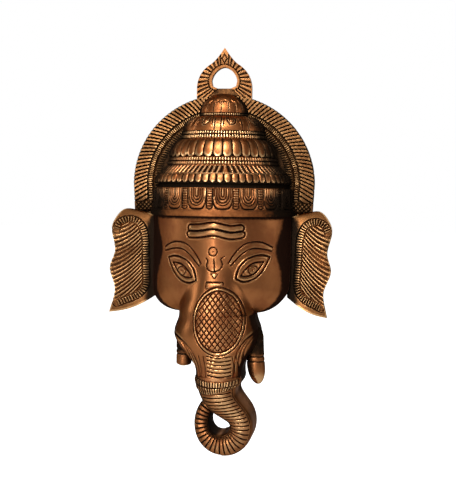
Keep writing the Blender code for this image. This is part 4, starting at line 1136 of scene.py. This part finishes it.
def trunk_stretch(name, start, end, grid, shrink, hollow_to, material):
    """A stretch of the trunk as a closed wall: folded outside, a plain inside that closes past hollow_to."""
    share = np.linspace(start, end, grid[0])
    place, aside, wide, deep, across, lift, front, length, tilt = trunk_rings(share, grid[1])
    s_all, a_all = np.broadcast_arrays(share[:, None], across[None, :])
    carve = fold_carving(s_all, a_all, length, wide[:, None], tilt[:, None]) * (front > 0)
    raised = FOLD_RISE * np.where(s_all * length < BRACELET_HEIGHT, 0, 0.6)
    skirt = TRUNK_SKIRT_SHARE * deep[:, None]
    relief = skirt * lift + (deep[:, None] - skirt + raised) * front
    relief = relief + carve * (0.35 + 0.65 * front) - shrink * lift
    row = s_all * length / BRACELET_HEIGHT
    collar = BRACELET_RISE * (0.3 + 0.7 * ease(0, 0.3, row)) * fade(0.8, 1.0, row)
    half = wide[:, None] + collar - shrink - 0.01 * MM
    x = place[:, :1] + aside[:, :1] * half * across
    z = place[:, 1:] + aside[:, 1:] * half * across
    outside = np.stack([x, -relief, z], axis=2)
    # Painted shade: darker on the side walls, most near the bracelet, over the curled tip except its front,
    # and along the left edge of the upper trunk
    shade = (0.8 - 0.4 * ease(0.08, 0.3, s_all)) * fade(0.1, 0.8, relief / deep[:, None])
    shade = np.maximum(shade, 0.9 * ease(0.6, 0.74, s_all) * (1 - 0.7 * ease(0.3, 1, front)))
    shade = np.maximum(shade, 0.5 * fade(-0.95, -0.25, a_all) * fade(0.4, 0.6, s_all))
    dark, rub_and_highlight = wear_of(carve, 3, TRUNK_WEAR, shade)
    # Painted highlight: more rub down the middle of the front and a bright stripe there above the curl; less
    # rub on the curl
    middle = np.exp(-(((a_all - 0.1) / 0.4) ** 2))
    rub_and_highlight = rub_and_highlight * (1 - 0.65 * ease(0.6, 0.75, s_all)) * (0.6 + 0.6 * middle)
    rub_and_highlight = rub_and_highlight + 0.4 * middle * fade(0.3, 0.5, s_all) * (1 - dark)
    pick = slice(None, None, BACK_STEP)
    open_part = fade(hollow_to - 0.04, hollow_to, share[pick])[:, None]
    thin = np.clip(relief[pick][:, pick] - carve[pick][:, pick] - 1.1 * WALL, THIN, None)
    deep_in = thin * open_part + (THIN + shrink) * (1 - open_part)
    narrow = half[pick][:, pick] - WALL
    x = place[pick, :1] + aside[pick, :1] * narrow * across[pick]
    z = place[pick, 1:] + aside[pick, 1:] * narrow * across[pick]
    inside = np.stack([x, -deep_in, z], axis=2)
    shell(name, outside, inside, dark, rub_and_highlight, material)


def trunk(material):
    """The trunk below the root: the wide stretch and bend, then the slim tip that curls behind."""
    trunk_stretch("trunk_bend", 0.0, 0.62, BEND_GRID, 0.0, 0.56, material)
    trunk_stretch("trunk_tip", 0.6, 1.0, TIP_GRID, 0.3 * MM, 0.0, material)


# Tusks
def tusk(name, x, relief, end, radius, nose, pointed, material):
    """A turned tusk: a straight stem with two fine rings, then a bullet nose or a blunt broken end."""
    top = -ROOT_DROP + SEAT_OVERLAP
    length = end + top
    stem = np.linspace(0, length - nose, 70)
    down = np.concatenate([stem, length - nose + nose * np.sin(np.linspace(0, 1.55, 26)[1:])])
    past = np.clip((down - (length - nose)) / nose, 0, 1)
    swell = np.interp(down, (0, 2.4 * MM, 6 * MM), (0.5, 0.85, 1))
    size = radius * np.sqrt(np.clip(1 - past**2, 0.0004, 1)) * swell
    first = length - nose - (2.6 * MM if pointed else 5.6 * MM)
    rings = sum(groove(np.abs(down - first + k * 3.0 * MM), 0.75 * MM) for k in range(2))
    cut = -0.45 * MM * rings
    around = np.linspace(0, 2 * math.pi, TUSK_AROUND, endpoint=False)
    lean = TUSK_LEAN * (down / length) ** 2 * pointed
    rough = 0.25 * MM * np.sin(around * 3 + 1)[None, :] * ease(0.2, 1, past)[:, None] * (not pointed)
    size = (size + cut)[:, None] + rough
    across = x + lean[:, None] + size * np.cos(around)
    points = np.stack([across, -relief + size * np.sin(around), (top - down)[:, None] + 0 * size], axis=2)
    cut = np.repeat(cut[:, None], TUSK_AROUND, axis=1)
    patina_and_shade = np.clip(-cut / (0.45 * MM), 0, 1)
    # Painted shade: darker on the half that faces the back plate and on the stem above the rings, under the
    # trunk root
    patina_and_shade = np.maximum(patina_and_shade, 0.8 * ease(-8 * MM, 2 * MM, points[:, :, 1] + relief * 0.7))
    patina_and_shade = np.maximum(patina_and_shade, 0.7 * fade(length - nose - 9 * MM, length - nose - 3 * MM, down)[:, None])
    # Painted highlight: bright metal growing towards the tip of the nose, passed on as rub
    rod(name, points, patina_and_shade, 0.75 * ease(0.1, 0.8, past)[:, None] + 0 * cut, material)


# Halo and loop
def halo_outline():
    """Outer edge of the halo: a straight foot, half an ellipse, and the other foot."""
    arch = np.linspace(0, math.pi, 361)
    x = HALO_HALF_WIDTH * np.cos(arch)
    z = -HALO_SPRING_DROP + HALO_RISE * np.sin(arch)
    foot = HALO_HALF_WIDTH - HALO_FOOT_INSET
    x = np.concatenate([[foot], x, [-foot]])
    z = np.concatenate([[-HALO_FOOT_DROP - HALO_TUCK], z, [-HALO_FOOT_DROP - HALO_TUCK]])
    return even(np.stack([x, z], axis=1), CURVE_POINTS)


def halo_carving(arc, deep, length):
    """Leaning ribs, a strip of fine rungs, a plain groove and a strip of ticks; hatching at the feet."""
    half = length / 2
    side = np.sign(arc - half)
    soft = ease(0, 12 * MM, np.abs(arc - half)) * ease(0, 14 * MM, np.minimum(arc, length - arc))
    lean = RIB_LEAN * side * soft * deep / RIB_BAND
    pitch = (half - HALO_FOOT_RUN - LOOP_RADIUS + SEAT_OVERLAP) / RIBS_PER_SIDE
    rib = off_beat(np.abs(arc + lean - half), pitch, LOOP_RADIUS)
    in_ribs = strip(deep, 0, RIB_BAND - 0.6 * MM, 0.5 * MM, 0.6 * MM)
    ribs = RIB_RISE * (0.75 - 1.4 * fade(0.06, 0.46, 1 - rib)) * in_ribs
    rung = off_beat(np.abs(arc - half), 1.55 * MM)
    start = RIB_BAND + 0.3 * MM
    in_strip = strip(deep, start, start + BEAD_STRIP - 0.4 * MM, 0.4 * MM, 0.4 * MM)
    rungs = (RIB_RISE * 0.9 - 0.9 * MM * fade(0.2, 0.7, rung)) * in_strip
    start = RIB_BAND + BEAD_STRIP + GAP_STRIP
    tick = off_beat(np.abs(arc - half) + 0.35 * (deep - start), 2.1 * MM)
    in_ticks = strip(deep, start, start + INNER_TICKS, 0.4 * MM, 0.5 * MM)
    ticks = (0.5 * MM - 0.8 * MM * fade(0.25, 0.75, tick)) * in_ticks
    lines = 0.6 * MM * groove(np.abs(deep - RIB_BAND), 0.6 * MM)
    lines = lines + 0.5 * MM * groove(np.abs(deep - RIB_BAND - BEAD_STRIP - 0.5 * GAP_STRIP), 0.6 * MM)
    up = np.minimum(arc, length - arc)
    foot = fade(9.5 * MM, 10.5 * MM, up)
    hatch = crossed(up + deep, up - deep, 2.6 * MM, 0.45) * (deep > 1.2 * MM) * (deep < 12 * MM)
    return (ribs + rungs + ticks - lines) * (1 - foot) + foot * (0.35 * MM - 0.8 * MM * hatch)


def halo(material):
    """The plate behind the crown, its inner edge hidden by the crown and its back flat."""
    outline, length = halo_outline()
    index = np.arange(len(outline))
    arc = np.linspace(0, length, HALO_GRID[0])
    deep = np.linspace(0.15 * MM, 18.5 * MM, HALO_GRID[1])
    deep = np.concatenate([[0, 0], deep, [HALO_WIDTH, HALO_WIDTH - 0.2 * MM]])

    def edge(at):
        """The outline's points at lengths along it, held at its two ends."""
        place = np.clip(at, 0, length) / length * (len(outline) - 1)
        return points_at(place, index, outline)

    inward = unit_and_left(edge(arc + 2 * MM) - edge(arc - 2 * MM))[1]
    a_all, d_all = np.broadcast_arrays(arc[:, None], deep[None, :])
    carve = halo_carving(a_all, d_all, length)
    notch = np.clip(-halo_carving(arc, np.full(arc.shape, 1.0 * MM), length), 0, None)
    inset = d_all + notch[:, None] * 0.45 * fade(0, 2 * MM, d_all)
    place = edge(arc)[:, None, :] + inward[:, None, :] * inset[:, :, None]
    up = np.minimum(a_all, length - a_all)
    relief = PLATE + carve - 1.6 * MM * fade(HALO_TUCK, HALO_TUCK + 1.5 * MM, up)
    relief[:, 0] = 0.4 * MM
    relief[:, 1] = relief[:, 2] - 0.4 * MM
    relief[:, -2] = PLATE - 0.5 * MM
    relief[:, -1] = 0.4 * MM
    front = np.stack([place[:, :, 0], -relief, place[:, :, 1]], axis=2)
    # Painted shade: darker towards the inner edge under the crown, towards the feet, and on the outer edge's
    # wall
    near = 0.6 * ease(9 * MM, 18 * MM, d_all) + 0.5 * fade(4 * MM, 26 * MM, up)
    patina_and_shade, rub_and_highlight = wear_of(carve, 2, HALO_WEAR, np.clip(near, 0, 0.85))
    patina_and_shade[:, 0] = 0.5
    back = flat_back(front, HALO_BACK_STEP, 0)
    shell("halo", front, back, patina_and_shade, rub_and_highlight, material, back_shade=PLATE_BACK_SHADE)


def loop_outline(count):
    """Outer edge of the loop from its right foot over the point to its left foot."""
    arc = np.linspace(0, LOOP_SHOULDER, 40)
    round_part = np.stack([LOOP_RADIUS * np.cos(arc), EYE_FLOOR + LOOP_RADIUS * np.sin(arc)], axis=1)
    start = round_part[-1]
    tip = np.array([0.0, LOOP_POINT_RISE])
    pinch = np.array([LOOP_PINCH, start[1] + 0.28 * (tip[1] - start[1])])
    t = np.linspace(0, 1, 30)[1:, None]
    flank = (1 - t) ** 2 * start + 2 * t * (1 - t) * pinch + t**2 * tip
    foot = np.array([[LOOP_RADIUS, -HALO_SPRING_DROP + HALO_RISE - 2 * SEAT_OVERLAP]])
    return both_sides(even(np.vstack([foot, round_part, flank]), count)[0])


def eye_outline(count):
    """Edge of the hanging eye from the right end of its sill over the top to the left end."""
    turn = np.linspace(0, math.pi / 2, 60)
    power = 2 / 1.7
    arch = np.stack([EYE_HALF_WIDTH * np.cos(turn) ** power, EYE_ARCH * (np.sin(turn) ** power - 1)], axis=1)
    sill = [[EYE_HALF_WIDTH * 0.55, EYE_FLOOR], [EYE_HALF_WIDTH * 0.92, EYE_FLOOR + 0.3 * EYE_SILL]]
    return both_sides(even(np.vstack([sill, arch]), count)[0])


def loop(material):
    """The hanging loop: ribs that spread from a plain rim round the eye to the pointed outer edge."""
    count, across = LOOP_GRID
    outer, inner = loop_outline(count), eye_outline(count)
    around = np.abs(np.linspace(-1, 1, 2 * count - 1))
    outward = np.pad(np.linspace(0, 1, across), 2, mode="edge")
    place = inner[:, None, :] + (outer - inner)[:, None, :] * outward[None, :, None]
    a_all, d_all = np.broadcast_arrays(around[:, None], outward[None, :])
    span = np.linalg.norm(outer - inner, axis=1)[:, None]
    from_eye = d_all * span
    rib = off_beat(a_all, 0.9 / LOOP_RIBS, 0.5 * 0.9 / LOOP_RIBS)
    in_ribs = ease(EYE_RIM, EYE_RIM + 0.5 * MM, from_eye) * fade(0.93, 0.98, d_all)
    in_ribs = in_ribs * ease(0.05, 0.09, a_all)
    carve = 0.45 * MM - 1.15 * MM * fade(0.15, 0.62, rib) * in_ribs
    x, z = place[:, :, 0], place[:, :, 1]
    boss = np.abs(x) / (1.6 * MM) + np.abs(z - 5.4 * MM) / (2.6 * MM)
    carve = carve - 0.5 * MM * groove(np.abs(boss - 1), 0.35) + 0.3 * MM * (boss < 0.8)
    carve = carve - 0.5 * MM * groove(np.abs(from_eye - EYE_RIM), 0.5 * MM)
    relief = PLATE + carve
    relief[:, 0], relief[:, -1] = 0.3 * MM, 0.3 * MM
    relief[:, 1], relief[:, -2] = PLATE - 0.3 * MM, PLATE - 0.3 * MM
    front = np.stack([x, -relief, z], axis=2)
    # Painted shade: darker towards the loop's feet where it meets the halo
    patina_and_shade, rub_and_highlight = wear_of(carve, 2, PLATE_WEAR, 0.8 * fade(-26 * MM, -15 * MM, z))
    back = flat_back(front, BACK_STEP, 0.05 * MM)
    shell("loop", front, back, patina_and_shade, rub_and_highlight, material, back_shade=PLATE_BACK_SHADE)
    low = -HALO_SPRING_DROP + HALO_RISE - RIB_BAND
    wide = np.linspace(-1, 1, SILL_GRID[1])[None, :]
    up = np.linspace(0, 1, SILL_GRID[0])[:, None]
    half = (LOOP_RADIUS - EYE_RIM) + (0.55 * EYE_HALF_WIDTH - LOOP_RADIUS + EYE_RIM) * ease(0.6, 1.0, up)
    x = half * wide
    z = low + (EYE_FLOOR - low) * up + 0 * x
    front = np.stack([x, -0.9 * PLATE * (1 - 0.2 * up**4) + 0 * x, z], axis=2)
    back = flat_back(front, BACK_STEP, 0.2 * MM)
    # Painted shade: the sill inside the eye is evenly darkened to half
    shell("loop_sill", front, back, 0.5 + 0 * x, 0 * x, material, back_shade=PLATE_BACK_SHADE)


# Ears
def ear_edges(share):
    """Root edge and free edge of the right ear at each share of the way down."""
    free = [(0.36, 0.04), (0.69, 0.022), (0.90, 0.105), (0.985, 0.22), (0.90, 0.41), (1.0, 0.58),
            (0.865, 0.78), (0.97, 0.995)]
    free_share = (0.0, 0.08, 0.17, 0.26, 0.4, 0.57, 0.8, 1.0)
    root_share_down = np.array([0.085, 0.24, 0.43, 0.64, 0.82])
    root_place = (0.0, 0.3, 0.55, 0.8, 1.0)
    base = FACE_HALF_WIDTH - EAR_ROOT_INSET
    top = -HALO_FOOT_DROP + EAR_TOP_RISE
    curve = smooth_through(np.array(free) * [EAR_REACH, -EAR_HEIGHT] + [base, top], 400)
    root = np.stack([np.full(5, base), top - EAR_HEIGHT * root_share_down], axis=1)
    knots = np.interp(np.linspace(0, len(free) - 1, 400), np.arange(len(free)), free_share)
    return points_at(share, root_place, root), points_at(share, knots, curve)


def ear_carving(x, z):
    """A hooked band of upright ticks, folds that sweep out and down inside it, and a plain hem outside it.

    A fold follows t = down + bow: lines of one slope that curve flatter towards the free edge.
    """
    hook = [(66.2, -101.0), (64.4, -97.0), (60.2, -94.8), (55.6, -95.0), (51.6, -97.8), (49.2, -103.0),
            (48.4, -109.0), (48.0, -118.0), (47.6, -127.0), (47.4, -134.0), (49.4, -139.4), (53.4, -143.0),
            (58.6, -145.4), (64.0, -147.6)]
    hook = smooth_through(np.array(hook) * MM, 70)
    far, along = nearest_on(hook, x, z)
    width = 1.95 * MM
    band = fade(width - 0.35 * MM, width, far)
    tick = off_beat(along, EAR_TICK_PITCH)
    ticks = (0.35 * MM - 0.75 * MM * fade(0.15, 0.65, tick)) * band
    border = -0.4 * MM * groove(np.abs(far - width - 0.2 * MM), 0.5 * MM)
    outline = np.vstack([hook, np.array([(78.0, -147.6), (78.0, -101.0)]) * MM])
    inside = inside_of(outline, x, z) & (far > width)
    reach = np.clip((x - 48 * MM) / (20 * MM), 0, 1.2)
    lower = np.clip((-z - 98 * MM) / (45 * MM), 0, 1)
    sweep = -z - 20 * MM * ((1.35 + 0.1 * lower) * reach - (0.68 - 0.18 * lower) * reach**2)
    fold = off_beat(sweep, EAR_FOLD_PITCH)
    folds = (0.2 * MM - 0.75 * MM * fade(0.1, 0.75, fold)) * inside * ease(width, width + 0.9 * MM, far)
    return ticks + border + folds + EAR_RIM_RISE * 0.5 * (~inside & (far > width + 0.6 * MM))


def ear_grid(inner, outer, share, u):
    """Places on the right ear: straight across from root to free edge, the middle sagging by sin pi u."""
    sag = np.interp(share, (0, 0.12, 0.6, 1), (0, 0, EAR_FOLD_ARCH, -EAR_HEM_DROP))
    place = inner[:, None, :] + (outer - inner)[:, None, :] * u[None, :, None]
    return place[:, :, 0], place[:, :, 1] + sag[:, None] * np.sin(math.pi * u)[None, :]


def ear(name, side, material):
    """A thin leaf that bows forward, its carved front closed by a plain back a plate's thickness behind."""
    share, u = np.meshgrid(*(np.linspace(0, 1, count) for count in EAR_GRID), indexing="ij")
    inner, outer = ear_edges(share[:, 0])
    x, z = ear_grid(inner, outer, share[:, 0], u[0])
    carve = ear_carving(x, z)
    front = np.stack([side * x - EAR_SWING * share * u, -(PLATE + EAR_BOW * u**2 + carve), z], axis=2)
    # Painted shade: darker in the strip along the ear's root, next to the face
    patina_and_shade, rub_and_highlight = wear_of(carve, 3, PLATE_WEAR, 0.9 * fade(0.1, 0.42, u))
    edge = np.minimum.reduce([(1 - u) * EAR_REACH, share * 0.5 * EAR_HEIGHT, (1 - share) * 0.8 * EAR_HEIGHT])
    rub_and_highlight = np.maximum(rub_and_highlight, 0.95 * fade(0.3 * MM, 1.3 * MM, edge))
    bow = np.clip(EAR_BOW * u[::BACK_STEP, ::BACK_STEP] ** 2, 0.05 * MM, None)
    back = flat_back(front, BACK_STEP, bow)
    shell(name, front, back, patina_and_shade, rub_and_highlight, material, back_shade=PLATE_BACK_SHADE)


# Studio
def studio():
    """Pale floor that stays white to the camera, a dim room behind it, and soft boxes aimed at the mask."""
    floor = bpy.data.meshes.new("floor")
    corners = [(-FLOOR_REACH, -FLOOR_REACH, 0), (FLOOR_REACH, -FLOOR_REACH, 0), (FLOOR_REACH, FLOOR_REACH, 0),
               (-FLOOR_REACH, FLOOR_REACH, 0)]
    floor.from_pydata(corners, [], [(0, 1, 2, 3)])
    ground = put("floor", floor)
    ground.location = (0, 0, -FLOOR_DROP)
    pale = bpy.data.materials.new("pale_floor")
    pale.use_nodes = True
    tree = pale.node_tree
    seen = node(tree, "ShaderNodeLightPath").outputs["Is Camera Ray"]
    fill(tree, tree.nodes["Principled BSDF"].inputs, {
        "Base Color": (0.8, 0.8, 0.8, 1), "Roughness": 0.9, "Emission Color": WHITE,
        "Emission Strength": times(tree, seen, FLOOR_GLOW)})
    floor.materials.append(pale)
    world = bpy.data.worlds.new("studio")
    bpy.context.scene.world = world
    world.use_nodes = True
    tree = world.node_tree
    seen = node(tree, "ShaderNodeLightPath").outputs["Is Camera Ray"]
    fill(tree, tree.nodes["Background"].inputs, {"Color": blend_colours(tree, seen, ROOM_TONE, WHITE)})
    for label, place, wide, high, bright in SOFT_BOXES:
        light = bpy.data.lights.new(label, "AREA")
        light.shape = "RECTANGLE"
        light.size = wide
        light.size_y = high
        light.energy = bright * math.pi * wide * high
        lamp = put(label, light)
        lamp.location = place
        aim = np.array(LIGHT_TARGET) - np.array(place)
        pitch = math.atan2(math.hypot(aim[0], aim[1]), -aim[2])
        lamp.rotation_euler = (pitch, 0, math.atan2(-aim[0], aim[1]))


def camera():
    """The photograph's camera: turned and lifted about the target, its frame leaning slightly."""
    level = math.cos(CAMERA_LIFT)
    back = np.array([math.sin(CAMERA_TURN) * level, -math.cos(CAMERA_TURN) * level, math.sin(CAMERA_LIFT)])
    right = np.array([math.cos(CAMERA_TURN), math.sin(CAMERA_TURN), 0])
    up = np.cross(back, right)
    leaned = right * math.cos(CAMERA_LEAN) - up * math.sin(CAMERA_LEAN)
    upward = right * math.sin(CAMERA_LEAN) + up * math.cos(CAMERA_LEAN)
    lens = bpy.data.cameras.new("camera")
    lens.sensor_fit = "AUTO"
    lens.sensor_width = 36
    lens.lens = 36 * CAMERA_DISTANCE / (PIXEL * PHOTO_HEIGHT)
    thing = put("camera", lens)
    matrix = np.eye(4)
    matrix[:3, :3] = np.stack([leaned, upward, back], axis=1)
    matrix[:3, 3] = np.array(CAMERA_TARGET) + back * CAMERA_DISTANCE
    thing.matrix_world = Matrix(matrix.tolist())
    bpy.context.scene.camera = thing
    bpy.context.scene.view_settings.view_transform = "Standard"


def main():
    """Camera and studio, and every piece of the mask in its copper."""
    camera()
    studio()
    crown_copper, face_copper, trunk_copper, plate_copper, halo_copper = (
        copper(name, *looks) for name, looks in COPPERS.items())
    crown(crown_copper)
    head(face_copper)
    trunk(trunk_copper)
    tusk("tusk_right", TUSK_X, TUSK_RELIEF, TUSK_TIP_DROP, TUSK_RADIUS, TUSK_NOSE, 1, trunk_copper)
    tusk("tusk_left", STUB_X, STUB_RELIEF, STUB_END_DROP, STUB_RADIUS, STUB_NOSE, 0, trunk_copper)
    halo(halo_copper)
    loop(plate_copper)
    ear("ear_left", -1, plate_copper)
    ear("ear_right", 1, plate_copper)


main()
